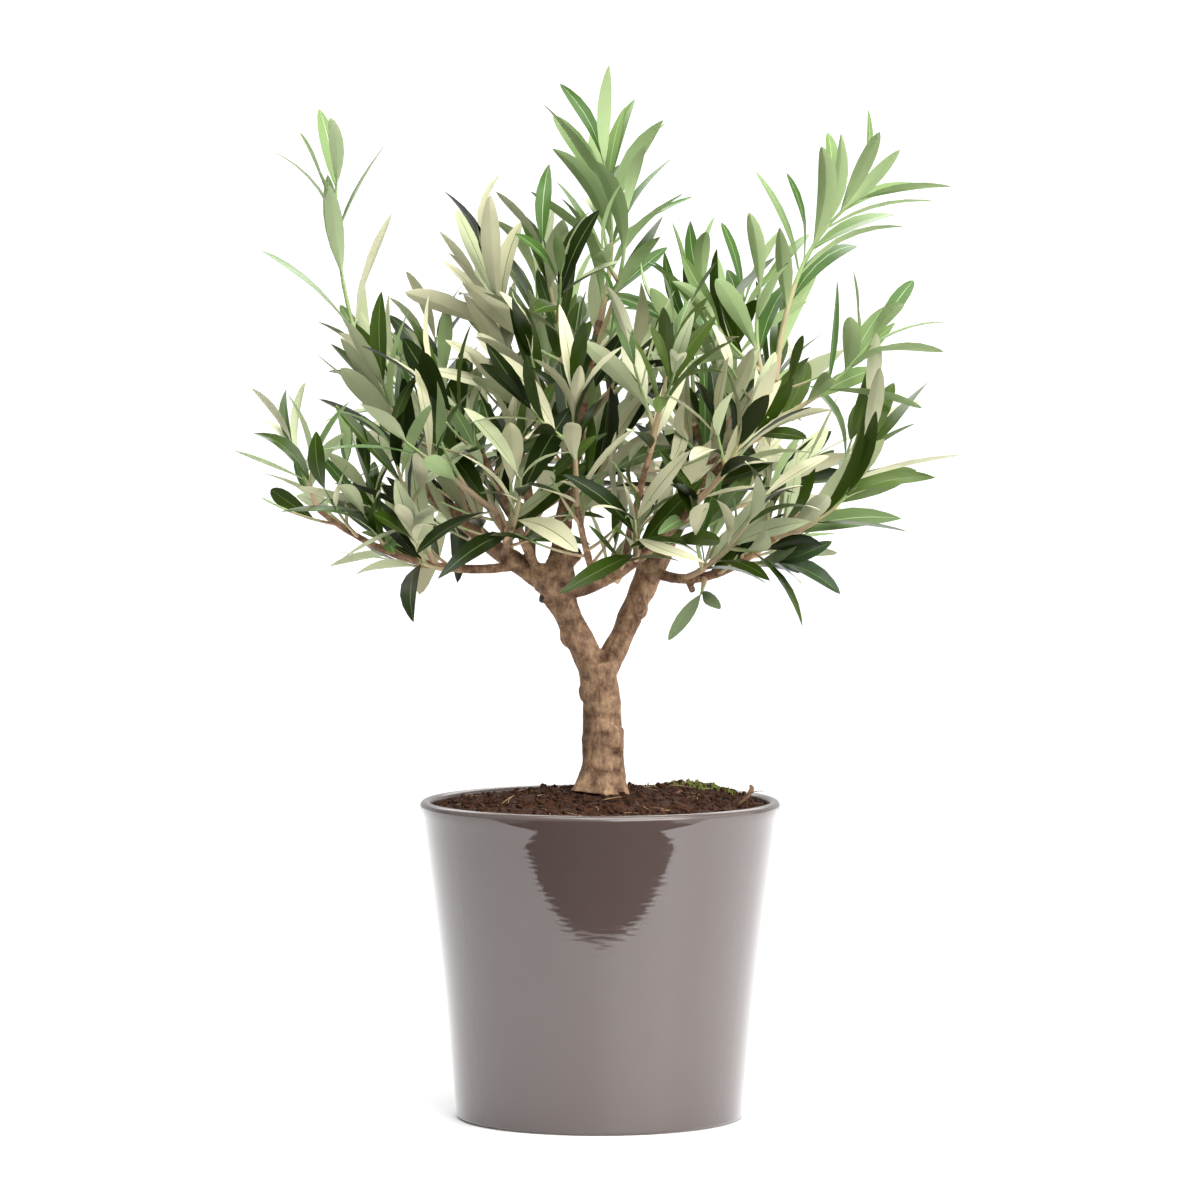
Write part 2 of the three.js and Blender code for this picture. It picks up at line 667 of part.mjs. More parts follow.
const masses = new Map();
for (const shoot of shoots) {
  const others = shoots.filter((other) => other !== shoot).map(({ swollen }) => swollen);
  const taken = [woodTogether, ...others, ...masses.values()];
  const grown = growMass(shoot, taken);
  masses.set(shoot.mass.name, wasm.Manifold.difference([grown, ...swollenWood]));
}

// ---------------------------------------------------------------- the assembled group

const pot = new THREE.Group();
pot.add(named("pot", potGeometry(), "glaze"));
pot.add(named("soil", soilGeometry(), "soil"));

const tree = new THREE.Group();
tree.position.z = SOIL.height;
for (const [name, solid] of wood) tree.add(named(name, geometryOf(solid), "bark"));
for (const [name, solid] of masses) tree.add(named(name, geometryOf(solid), "foliage"));

const pottedOlive = new THREE.Group();
pottedOlive.add(pot, tree);

export default pottedOlive;
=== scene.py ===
"""Potted olive tree: glazed pot, potting compost, barked trunk and boughs, twigs and leaves.

The growth rule works in millimetres from the middle of the trunk's foot, and the finished
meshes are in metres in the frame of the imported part.
"""

import logging
import math
import random
from collections.abc import Callable, Iterable
from dataclasses import dataclass, field
from enum import Enum

import bmesh
import bpy
import numpy as np
from mathutils import Euler, Matrix, Vector, noise
from mathutils.bvhtree import BVHTree


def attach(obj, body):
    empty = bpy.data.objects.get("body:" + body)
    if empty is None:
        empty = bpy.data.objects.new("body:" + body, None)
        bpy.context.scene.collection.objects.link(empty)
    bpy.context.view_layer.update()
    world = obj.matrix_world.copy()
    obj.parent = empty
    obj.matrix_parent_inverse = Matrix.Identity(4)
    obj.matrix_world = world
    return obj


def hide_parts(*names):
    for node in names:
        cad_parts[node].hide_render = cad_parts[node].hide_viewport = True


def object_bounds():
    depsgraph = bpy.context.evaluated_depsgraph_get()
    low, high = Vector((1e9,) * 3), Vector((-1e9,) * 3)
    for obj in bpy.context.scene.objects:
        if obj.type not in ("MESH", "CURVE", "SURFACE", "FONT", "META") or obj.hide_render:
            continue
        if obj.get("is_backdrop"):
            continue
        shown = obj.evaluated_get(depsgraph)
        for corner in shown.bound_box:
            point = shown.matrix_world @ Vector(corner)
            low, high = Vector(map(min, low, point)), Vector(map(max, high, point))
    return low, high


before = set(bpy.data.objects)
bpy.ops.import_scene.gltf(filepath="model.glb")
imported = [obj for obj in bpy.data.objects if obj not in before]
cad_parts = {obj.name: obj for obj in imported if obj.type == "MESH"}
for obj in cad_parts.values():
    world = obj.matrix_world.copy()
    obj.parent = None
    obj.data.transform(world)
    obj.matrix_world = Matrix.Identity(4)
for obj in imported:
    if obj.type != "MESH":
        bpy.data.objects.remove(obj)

log = logging.getLogger("potted_olive")

MM = 0.001
SOIL_HEIGHT = 171.0
WHITE = (1.0, 1.0, 1.0, 1.0)

Colour = tuple[float, float, float, float]
Draw = Callable[[], float]
Inputs = dict[int | str, object]
Place = tuple[float, float, float]
Radius = Callable[[float, float], float]
Span = tuple[float, float]
Form = tuple[list[Vector], Iterable[tuple[int, ...]]]
Socket = bpy.types.NodeSocket


# ---------------------------------------------------------------- small helpers


def linear(code: int) -> Colour:
    """Turns an sRGB colour to the linear values that shaders take.

    Args:
        code: The colour as 0xRRGGBB.

    Returns:
        Linear red, green, blue and an alpha of one.
    """
    parts = [((code >> shift) & 255) / 255 for shift in (16, 8, 0)]
    red, green, blue = (
        part / 12.92 if part <= 0.04045 else ((part + 0.055) / 1.055) ** 2.4 for part in parts
    )
    return (red, green, blue, 1.0)


def mix(start: float, end: float, share: float) -> float:
    """Returns the value at a share of the way from start to end."""
    return start + (end - start) * share


def seeded(seed: int) -> Draw:
    """Makes the repeatable stream of numbers that the growth rule draws from.

    Args:
        seed: Where the stream starts.

    Returns:
        A function that gives the next number from 0 to 1.
    """
    state = seed & 0xFFFFFFFF

    def draw() -> float:
        """Returns the next number of the stream."""
        nonlocal state
        state = (state + 0x6D2B79F5) & 0xFFFFFFFF
        mixed = ((state ^ (state >> 15)) * (1 | state)) & 0xFFFFFFFF
        mixed = ((mixed + ((mixed ^ (mixed >> 7)) * (61 | mixed))) & 0xFFFFFFFF) ^ mixed
        return ((mixed ^ (mixed >> 14)) & 0xFFFFFFFF) / 4294967296

    return draw


def put_up(name: str, data: bpy.types.ID) -> bpy.types.Object:
    """Puts a mesh, a light or a camera into the scene as an object."""
    thing = bpy.data.objects.new(name, data)
    bpy.context.scene.collection.objects.link(thing)
    return thing


def as_mesh(form: bmesh.types.BMesh, name: str) -> bpy.types.Mesh:
    """Writes a bmesh to a new mesh and frees it."""
    mesh = bpy.data.meshes.new(name)
    form.to_mesh(mesh)
    form.free()
    return mesh


def pour(target: bmesh.types.BMesh, source: bmesh.types.BMesh, slot: int | None = None) -> None:
    """Adds one bmesh to another and frees it.

    Args:
        target: The bmesh that grows.
        source: The bmesh that is poured in.
        slot: The material slot of the added faces, or None if they keep their own.
    """
    if slot is not None:
        for face in source.faces:
            face.material_index = slot
    mesh = as_mesh(source, "poured")
    target.from_mesh(mesh)
    bpy.data.meshes.remove(mesh)


def turned(section: list[tuple[float, float]], sides: int) -> bmesh.types.BMesh:
    """Turns a section about the upright axis.

    Args:
        section: Radius and height of each of its points in turn.
        sides: Faces around.

    Returns:
        The turned body as a new bmesh.
    """
    form = bmesh.new()
    line = [form.verts.new((radius, 0, height)) for radius, height in section]
    edges = [form.edges.new(pair) for pair in zip(line, line[1:])]
    bmesh.ops.spin(
        form,
        geom=line + edges,
        cent=(0, 0, 0),
        axis=(0, 0, 1),
        angle=math.tau,
        steps=sides,
        use_merge=True,
    )
    bmesh.ops.remove_doubles(form, verts=form.verts, dist=1e-4)
    return form


def to_part_frame(form: bmesh.types.BMesh, foot: float = 0.0) -> None:
    """Moves a bmesh from millimetres, counted from a foot's height, to the part's metres."""
    bmesh.ops.translate(form, verts=form.verts, vec=(0, 0, foot))
    bmesh.ops.scale(form, verts=form.verts, vec=(MM, MM, MM))


def finished(
    form: bmesh.types.BMesh,
    name: str,
    materials: Iterable[bpy.types.Material],
    sharp: float,
    outward: bool = True,
) -> bpy.types.Object:
    """Turns a bmesh into a piece that rides on the root body.

    Args:
        form: The mesh in metres, in the part's frame. It is freed.
        name: The piece's name.
        materials: The piece's material slots in order.
        sharp: Edges that turn more than this many degrees stay sharp.
        outward: True if the normals still have to be turned outwards.

    Returns:
        The piece's object.
    """
    if outward:
        bmesh.ops.recalc_face_normals(form, faces=form.faces)
    mesh = as_mesh(form, name)
    for material in materials:
        mesh.materials.append(material)
    mesh.shade_smooth()
    mesh.set_sharp_from_angle(angle=math.radians(sharp))
    piece = put_up(name, mesh)
    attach(piece, "root")
    log.info("%s: %d faces", name, len(mesh.polygons))
    return piece


# ---------------------------------------------------------------- shader nodes


def add_node(
    tree: bpy.types.NodeTree, kind: str, inputs: Inputs, **settings: object
) -> bpy.types.Node:
    """Adds one shader node.

    Args:
        tree: The node tree that gets it.
        kind: Blender's name for the kind of node, after the word ShaderNode.
        inputs: For each input, a value or the output socket that feeds it.
        settings: The node's own settings by name.

    Returns:
        The new node.
    """
    node = tree.nodes.new(f"ShaderNode{kind}")
    for name, value in settings.items():
        setattr(node, name, value)
    for key, value in inputs.items():
        socket = node.inputs[key]
        if isinstance(value, Socket):
            tree.links.new(value, socket)
        else:
            socket.default_value = value
    return node


class Nodes:
    """The nodes of one material or world, each kind as a method that returns its output."""

    def __init__(self, tree: bpy.types.NodeTree) -> None:
        """Starts with an empty tree."""
        self.tree = tree
        tree.nodes.clear()

    def ramp(
        self, value: Socket, start: Span, end: Span = (0.0, 1.0), kind: str = "LINEAR"
    ) -> Socket:
        """Brings a value from one range to another.

        Args:
            value: The value.
            start: The range it is taken from, cut off at both ends.
            end: The range it is brought to.
            kind: Blender's name for the way between the two ends.

        Returns:
            The new value.
        """
        inputs = {"Value": value, "From Min": start[0], "From Max": start[1]}
        inputs |= {"To Min": end[0], "To Max": end[1]}
        return add_node(self.tree, "MapRange", inputs, interpolation_type=kind).outputs[0]

    def larger(self, one: Socket, other: Socket) -> Socket:
        """Returns the larger of two values."""
        return add_node(self.tree, "Math", {0: one, 1: other}, operation="MAXIMUM").outputs[0]


class Finish(Nodes):
    """A material in the making: one Principled shader and the patterns that feed it."""

    def __init__(self, name: str, inputs: Inputs) -> None:
        """Starts the material.

        Args:
            name: The material's name.
            inputs: Plain values of the shader's sockets.
        """
        self.material = bpy.data.materials.new(name)
        self.material.use_nodes = True
        super().__init__(self.material.node_tree)
        self.shader = add_node(self.tree, "BsdfPrincipled", inputs)
        add_node(self.tree, "OutputMaterial", {"Surface": self.shader.outputs[0]})

    def place(self, stretch: Place | None = None) -> Socket:
        """Returns the place on the piece in metres, scaled by stretch along each axis."""
        place = add_node(self.tree, "TexCoord", {}).outputs["Object"]
        if stretch is None:
            return place
        return add_node(self.tree, "Mapping", {"Vector": place, "Scale": stretch}).outputs[0]

    def clouds(
        self, size_mm: float, detail: float, roughness: float = 0.5, stretch: Place | None = None
    ) -> Socket:
        """Adds soft clouds.

        Args:
            size_mm: The size of the largest in millimetres.
            detail: How many times finer ones are laid over them.
            roughness: How strong the finer ones are.
            stretch: Scales the pattern along each axis, less than one draws it out.

        Returns:
            The clouds' value from 0 to 1.
        """
        inputs = {"Vector": self.place(stretch), "Scale": 1 / (size_mm * MM)}
        inputs |= {"Detail": detail, "Roughness": roughness}
        return add_node(self.tree, "TexNoise", inputs).outputs[0]

    def grains(self, size_mm: float) -> Socket:
        """Returns the distance from the nearest of many points that lie size_mm apart."""
        inputs = {"Vector": self.place(), "Scale": 1 / (size_mm * MM)}
        return add_node(self.tree, "TexVoronoi", inputs).outputs[0]

    def blend(self, share: Socket, first: int | Socket, second: int) -> Socket:
        """Lays one colour over another.

        Args:
            share: How much of the second shows.
            first: The colour below, plain or as a pattern.
            second: The colour above.

        Returns:
            The blended colour.
        """
        below = linear(first) if isinstance(first, int) else first
        inputs = {0: share, 6: below, 7: linear(second)}
        return add_node(self.tree, "Mix", inputs, data_type="RGBA").outputs[2]

    def feed(self, name: str, value: Socket) -> None:
        """Lets a pattern drive one of the shader's sockets."""
        self.tree.links.new(value, self.shader.inputs[name])

    def done(
        self, colour: Socket, relief: Socket, strength: float, depth: float
    ) -> bpy.types.Material:
        """Feeds colour and relief to the shader.

        Args:
            colour: The base colour.
            relief: The pattern that stands up.
            strength: How strongly it shows.
            depth: How far it stands up in metres.

        Returns:
            The finished material.
        """
        inputs = {"Strength": strength, "Distance": depth, "Height": relief}
        self.feed("Normal", add_node(self.tree, "Bump", inputs).outputs[0])
        self.feed("Base Color", colour)
        return self.material


# ---------------------------------------------------------------- finishes


@dataclass(frozen=True)
class GlazedEarthenware:
    """Slip-cast earthenware under one coat of taupe glaze, fired to a mirror gloss.

    The eye sees sharp reflections over a warm grey body, with the faint sideways ripple that
    the poured glaze keeps, and a paler and duller line where it runs thin over the lip.
    """

    body: int = 0x483C39
    thin: int = 0x564B47
    ripple_mm: float = 2.2
    cloud_mm: float = 50 / 3
    lip_height: float = 0.1645
    lip_fade: float = 0.0018

    def material(self) -> bpy.types.Material:
        """Returns the glaze, with its ripple as bump and its paler lip."""
        glaze = Finish("taupe_poured_glaze", {"IOR": 1.56, "Coat Roughness": 0.03, "Coat IOR": 1.5})
        height = add_node(glaze.tree, "SeparateXYZ", {"Vector": glaze.place()}).outputs["Z"]
        edge = (self.lip_height, self.lip_height + self.lip_fade)
        lip = glaze.ramp(height, edge, kind="SMOOTHSTEP")
        cloud = glaze.ramp(glaze.clouds(self.cloud_mm, 2.0), (0.3, 0.7), (0.0, 0.07))
        glaze.feed("Roughness", glaze.ramp(lip, (0.0, 1.0), (0.04, 0.26)))
        glaze.feed("Coat Weight", glaze.ramp(lip, (0.0, 1.0), (0.7, 0.08)))
        colour = glaze.blend(glaze.larger(lip, cloud), self.body, self.thin)
        ripple = glaze.clouds(self.ripple_mm, 0.5, stretch=(0.26, 0.26, 1.0))
        return glaze.done(colour, ripple, 0.1, 0.0004)


@dataclass(frozen=True)
class BareClay:
    """The unglazed foot ring, wiped clean before firing: pale, dry and slightly sandy."""

    clay: int = 0xB9A694
    stain: int = 0x9C8975
    grit_mm: float = 0.8

    def material(self) -> bpy.types.Material:
        """Returns the clay with its sandy grit in colour and bump."""
        clay = Finish("bare_fired_clay", {"Roughness": 0.85})
        grit = clay.clouds(self.grit_mm, 2.0)
        return clay.done(clay.blend(grit, self.clay, self.stain), grit, 0.4, 0.0002)


@dataclass(frozen=True)
class PottingCompost:
    """Peat and bark fines: dark brown, dry on top, matt, with reddish and nearly black grains."""

    dark: int = 0x180C05
    light: int = 0x4C2C16
    grain_mm: float = 3.2
    crumb_share: float = 0.6

    def material(self) -> bpy.types.Material:
        """Returns the compost with its grains in colour and smaller crumbs as bump."""
        peat = Finish("peat_potting_compost", {"Roughness": 0.95, "Specular IOR Level": 0.25})
        grain = peat.ramp(peat.clouds(self.grain_mm, 4.0, 0.7), (0.34, 0.68))
        crumbs = peat.grains(self.crumb_share * self.grain_mm)
        return peat.done(peat.blend(grain, self.dark, self.light), crumbs, 0.9, 0.001)


@dataclass(frozen=True)
class PlainMatter:
    """A plain base colour on a natural matt surface: moss, fibre, leaf blades or young twigs.

    Leaf and twig tones are dealt out by spray, each as one plain colour. The upper face of an
    olive leaf has a waxy skin that gives it a soft shine, and the underside is felted and dull.
    """

    name: str
    colour: int
    roughness: float = 0.8
    wax: float = 0.0
    shine: float = 0.5

    def material(self) -> bpy.types.Material:
        """Returns the plain material."""
        inputs = {
            "Base Color": linear(self.colour),
            "Roughness": self.roughness,
            "Coat Weight": self.wax,
            "Coat Roughness": 0.3,
            "Specular IOR Level": self.shine,
        }
        return Finish(self.name, inputs).material


@dataclass(frozen=True)
class OliveBark:
    """Young olive bark: thin, grey-brown, mottled, finely wrinkled lengthwise.

    The eye sees tan skin with darker clouds under a centimetre across, pale breathing pores a
    few millimetres apart, dark hairline grooves deepened by painted shade where the wrinkles
    sink, and a matt surface.
    """

    light: int = 0xB08E6E
    dark: int = 0x5E4230
    pore: int = 0xC6AE98
    # Dark bark of the grooves, deepened as painted shade where the wrinkles sink.
    groove_shade: int = 0x45322A
    cloud_mm: float = 7.0
    pore_mm: float = 2.4
    wrinkle_mm: float = 50 / 31

    def material(self) -> bpy.types.Material:
        """Returns the bark with clouds, pores, grooves with painted shade, and the wrinkles as
        bump.
        """
        bark = Finish("young_olive_bark", {"Roughness": 0.78, "Specular IOR Level": 0.35})
        cloud = bark.ramp(bark.clouds(self.cloud_mm, 5.0, 0.65), (0.36, 0.66))
        wrinkles = bark.clouds(self.wrinkle_mm, 3.0, 0.6, (1.0, 1.0, 0.3))
        pores = bark.ramp(bark.grains(self.pore_mm), (0.1, 0.22), (0.35, 0.0))
        # The grooves' dark colour is partly their own bark and partly painted shade, laid where the
        # wrinkles sink.
        groove_shading = bark.ramp(wrinkles, (0.3, 0.5), (0.6, 0.0))
        skin = bark.blend(pores, bark.blend(cloud, self.dark, self.light), self.pore)
        return bark.done(bark.blend(groove_shading, skin, self.groove_shade), wrinkles, 0.5, 0.0007)


class Tone(Enum):
    """The leaf tones of a spray: the colour of its upper faces and of its undersides."""

    DEEP = (0x182603, 0xC8C6A4)
    MID = (0x30430B, 0xB0B892)
    GREY = (0x4A5D26, 0xCACAAA)
    SAGE = (0x62784A, 0xB2C296)
    FRESH = (0x44622A, 0xA0B680)
    YOUNG = (0x6A824A, 0xAABE8A)
    # This tone is painted shade: darkened upper faces and undersides for leaves hanging low under
    # the crown.
    DUSKY = (0x34462A, 0x6E7C5A)

    @property
    def slots(self) -> tuple[int, int]:
        """The material slots of the tone's upper face and underside."""
        first = 2 * list(Tone).index(self)
        return first, first + 1

    @property
    def young(self) -> bool:
        """True for the pale leaves of this year's shoots."""
        return self in (Tone.SAGE, Tone.FRESH, Tone.YOUNG)

    @property
    def lighter(self) -> "Tone":
        """The tone of a younger leaf on the same spray."""
        younger = {"DEEP": "MID", "MID": "FRESH", "GREY": "SAGE", "SAGE": "YOUNG", "FRESH": "YOUNG"}
        return Tone[younger.get(self.name, self.name)]

    @property
    def darker(self) -> "Tone":
        """The tone of an older leaf on the same spray."""
        older = {"MID": "DEEP", "GREY": "MID", "SAGE": "GREY", "FRESH": "MID", "YOUNG": "FRESH"}
        return Tone[older.get(self.name, self.name)]


# ---------------------------------------------------------------- tables of the tree


@dataclass(frozen=True)
class Limb:
    """One stem or bough: where it springs off, its tip above the trunk's foot, and its bow."""

    name: str
    on: str
    at: float
    tip: Place
    bow: Place
    radius: Span
    head: float = 1.0

    @property
    def stout(self) -> bool:
        """True for the limbs that are rounded more finely."""
        return self.radius[0] > 4.5

    def radius_at(self, share: float) -> float:
        """Returns the limb's radius at a share of its length, with collar and swollen head."""
        collar = 1 + 0.22 * math.exp(-share * 14)
        swelling = 1 + (self.head - 1) * math.exp(-(((share - 0.9) / 0.16) ** 2))
        return mix(*self.radius, share**0.85) * collar * swelling


@dataclass(frozen=True)
class Mass:
    """One branching stem of leaves: its limb, main shoot, pairs of leaves, side twigs and tone.

    Attributes:
        bare: The share of the shoot below its first pair.
        turn: Degrees of the first pair about the stem, 0 across the front view.
        twigs: Side twigs of the solids' own rule.
        spread: Degrees between stem and leaf at the shoot's foot.
        close: The same at its tip.
        finer: Finer side twigs that are grown after all the sprays.
    """

    name: str
    on: str
    at: float
    tip: Place
    bow: Place
    pairs: int
    bare: float
    turn: float
    twigs: int
    tone: Tone
    leaf: float = 1.0
    spread: float = 46.0
    close: float = 18.0
    finer: int = 3


LIMBS = (
    Limb("left_stem", "trunk", 0.86, (-26, -4, 114), (0.5, 0, -1), (7.8, 6.4), 1.35),
    Limb("right_stem", "trunk", 0.84, (31, 8, 130), (0.5, 0, -1), (6.2, 6.2), 1.25),
    Limb("left_bough", "left_stem", 0.93, (-93, 12, 162), (1, -2, -4), (5.8, 3.6)),
    Limb("leader", "left_stem", 0.95, (0, 6, 250), (-1, 0, 0), (5, 2.2)),
    Limb("front_bough", "left_stem", 0.88, (50, -40, 156), (-2, -4, -12), (4, 2)),
    Limb("right_leader", "right_stem", 0.93, (69, 5, 217), (7, 0, -2), (4.7, 2.6)),
    Limb("right_low_bough", "right_stem", 0.85, (104, -34, 149), (-4, -7, -16), (3, 1.7)),
    Limb("right_upper_bough", "right_leader", 0.45, (92, -18, 219), (4, -4, -4), (3, 1.8)),
    Limb("right_back_bough", "right_stem", 0.78, (72, 72, 186), (-4, 4, -8), (3.8, 2)),
    Limb("low_left_bough", "left_bough", 0.28, (-147, -34, 152), (-2, -8, -12), (2.6, 1.5)),
    Limb("mid_left_bough", "left_bough", 0.12, (-68, -40, 193), (3, -6, -3), (2.8, 1.7)),
    Limb("upright_left_bough", "left_bough", 0.2, (-50, 10, 208), (5, 2, 0), (3.2, 1.9)),
    Limb("fore_left_bough", "left_bough", 0.42, (-54, -34, 150), (4, -4, -5), (2.4, 1.7)),
    Limb("back_left_bough", "left_bough", 0.55, (-98, 74, 188), (4, 4, -6), (3, 1.8)),
    Limb("front_twig", "front_bough", 0.52, (26, -58, 183), (-2, -3, -4), (2.4, 1.6)),
    Limb("front_left_twig", "front_bough", 0.32, (-12, -52, 155), (0, -4, -5), (2.3, 1.5)),
    Limb("back_bough", "leader", 0.2, (-18, 80, 205), (0, 5, -8), (3.3, 1.8)),
)

LIMB_NAMED = {limb.name: limb for limb in LIMBS}
MAIN_LIMBS = ("left_bough", "leader", "front_bough", "right_stem")

MASSES = (
    Mass("left_sprig", "left_bough", 0.96, (-139, 14, 322), (-14, 0, 0), 4, 0.53, 8, 0,
         Tone.SAGE, leaf=1.18, spread=30, close=40, finer=0),
    Mass("top_sprig", "leader", 1, (2, 10, 332), (5, 0, 0), 6, 0.1, 45, 1,
         Tone.FRESH, leaf=1.18, spread=50, close=26, finer=1),
    Mass("right_tall_sprig", "right_upper_bough", 1, (136, -10, 314), (-8, 0, 12), 6, 0.3, 63, 0,
         Tone.YOUNG, leaf=1.12, spread=42, close=44, finer=0),
    Mass("right_mid_sprig", "right_upper_bough", 0.62, (143, -30, 242), (3, 0, -6), 5, 0.4, 75, 0,
         Tone.YOUNG, spread=60, close=44, finer=0),
    Mass("right_low_sprig", "right_low_bough", 1, (143, -38, 197), (6, 0, -3), 4, 0.1, 60, 1,
         Tone.GREY, leaf=1.1, spread=30, close=34, finer=1),
    Mass("far_left_spray", "low_left_bough", 1, (-150, -36, 174), (-2, 0, 0), 3, 0.05, 30, 1,
         Tone.GREY, leaf=0.95, spread=80, close=24, finer=1),
    Mass("right_low_spray", "right_low_bough", 0.86, (128, -52, 160), (0, -2, -4), 3, 0.15, 60, 0,
         Tone.GREY, leaf=1.16, spread=30, close=34, finer=1),
    # These two masses hang low under the crown and take the tone with painted shade.
    Mass("right_hanging_leaves", "right_low_bough", 0.42, (53, -32, 108), (0, 0, 0), 1, 1, 45, 0,
         Tone.DUSKY, leaf=0.62, spread=30, finer=0),
    Mass("right_outer_leaves", "right_low_bough", 0.62, (91, -44, 125), (0, 0, 0), 2, 0.55, 40, 0,
         Tone.DUSKY, leaf=0.86, spread=22, close=28, finer=0),
    Mass("left_hanging_leaves", "low_left_bough", 0.3, (-94, -34, 125), (0, 0, -2), 1, 1, 60, 0,
         Tone.DEEP, leaf=1.08, spread=60, finer=0),
    Mass("low_left_spray", "low_left_bough", 0.4, (-108, -44, 186), (-2, -3, 0), 4, 0.1, 120, 2,
         Tone.MID, leaf=1.02, spread=36, close=42),
    Mass("left_spray", "left_bough", 0.82, (-114, 4, 217), (-5, 0, 0), 5, 0.1, 60, 1,
         Tone.MID, leaf=1.06, spread=40, close=24),
    Mass("fore_left_spray", "fore_left_bough", 1, (-100, -66, 188), (-3, -4, 3), 4, 0.05, 15, 2,
         Tone.MID, leaf=1.05, spread=58, close=24),
    Mass("low_fore_left_spray", "fore_left_bough", 0.6, (-41, -74, 170), (2, -4, -3), 4, 0.1, 60, 1,
         Tone.DEEP, leaf=1.06, spread=58, close=42),
    Mass("mid_left_spray", "mid_left_bough", 1, (-84, -44, 216), (-3, 0, 0), 4, 0.1, 10, 1,
         Tone.DEEP),
    Mass("upright_left_spray", "upright_left_bough", 1, (-58, 5, 276), (3, 0, 0), 5, 0.05, 30, 1,
         Tone.DEEP, leaf=1.08, spread=32),
    Mass("upper_left_spray", "leader", 0.7, (-30, -14, 290), (-3, 0, 0), 4, 0.1, 105, 2,
         Tone.MID, spread=44, close=34),
    Mass("top_right_spray", "leader", 0.88, (14, -8, 304), (4, 0, 0), 4, 0.1, 30, 2,
         Tone.FRESH, leaf=1.06, spread=48),
    Mass("right_crown_spray", "right_leader", 0.78, (54, -6, 266), (0, 0, 0), 4, 0.1, 0, 2,
         Tone.FRESH, close=42),
    Mass("right_top_spray", "right_upper_bough", 0.86, (84, -14, 267), (-4, 0, 0), 4, 0.05, 150, 2,
         Tone.FRESH, leaf=1.05, spread=50, close=42),
    Mass("front_centre_spray", "front_twig", 1, (38, -76, 238), (0, -4, 0), 4, 0.05, 75, 2,
         Tone.GREY),
    Mass("front_left_centre_spray", "front_left_twig", 1, (-14, -76, 214), (0, -4, 0),
         4, 0.05, 15, 2, Tone.DEEP),
    Mass("front_rosette", "front_bough", 0.6, (18, -68, 148), (0, -2, 0), 3, 0.2, 45, 0,
         Tone.DEEP, leaf=1.02, spread=60, close=42, finer=1),
    Mass("front_right_spray", "front_bough", 1, (76, -66, 196), (2, -4, -2), 4, 0.05, 20, 2,
         Tone.DEEP),
    Mass("low_right_spray", "right_low_bough", 0.26, (84, -64, 160), (2, -4, -6), 4, 0.25, 150, 2,
         Tone.MID, spread=32, close=42),
    Mass("right_leader_spray", "right_leader", 0.93, (76, 28, 258), (0, 3, 0), 4, 0.1, 80, 1,
         Tone.FRESH),
    Mass("inner_right_spray", "right_leader", 0.36, (66, -26, 206), (-2, -3, -2), 4, 0.1, 20, 2,
         Tone.MID),
    Mass("centre_spray", "leader", 0.45, (-36, -34, 232), (-2, -3, 0), 4, 0.1, 55, 1,
         Tone.DEEP),
    Mass("low_centre_spray", "leader", 0.22, (8, -30, 190), (2, -3, -2), 4, 0.1, 30, 1,
         Tone.DEEP),
    Mass("centre_right_spray", "leader", 0.58, (26, -26, 248), (0, -2, -3), 4, 0.15, 5, 1,
         Tone.MID),
    Mass("left_mid_spray", "left_bough", 0.68, (-84, 34, 216), (0, 3, 0), 4, 0.1, 45, 1,
         Tone.MID),
    Mass("right_back_spray", "right_back_bough", 1, (98, 98, 230), (3, 3, -3), 4, 0.05, 30, 1,
         Tone.MID),
    Mass("right_back_top_spray", "right_back_bough", 0.74, (50, 78, 258), (-3, 4, 0),
         4, 0.15, 70, 1, Tone.FRESH),
    Mass("right_back_low_spray", "right_back_bough", 0.5, (112, 48, 176), (2, 2, -6),
         3, 0.25, 10, 1, Tone.DEEP),
    Mass("back_spray", "back_bough", 1, (-14, 110, 248), (0, 5, -2), 4, 0.05, 50, 1, Tone.MID),
    Mass("back_top_spray", "back_bough", 0.72, (-34, 58, 270), (-3, 3, 0), 4, 0.15, 135, 1,
         Tone.GREY, spread=36, close=34),
    Mass("back_low_spray", "back_bough", 0.5, (22, 98, 180), (2, 3, -5), 3, 0.25, 65, 1,
         Tone.DEEP),
    Mass("back_left_spray", "back_left_bough", 1, (-124, 100, 228), (-3, 3, -3), 4, 0.05, 25, 1,
         Tone.GREY),
    Mass("back_left_top_spray", "back_left_bough", 0.74, (-88, 72, 240), (-3, 3, 0),
         4, 0.15, 135, 1, Tone.MID, spread=50, close=34),
    Mass("back_left_low_spray", "back_left_bough", 0.52, (-70, 110, 169), (-2, 4, -5),
         3, 0.25, 45, 1, Tone.DEEP, leaf=1.06, spread=50, close=24),
)


# ---------------------------------------------------------------- curves and rods


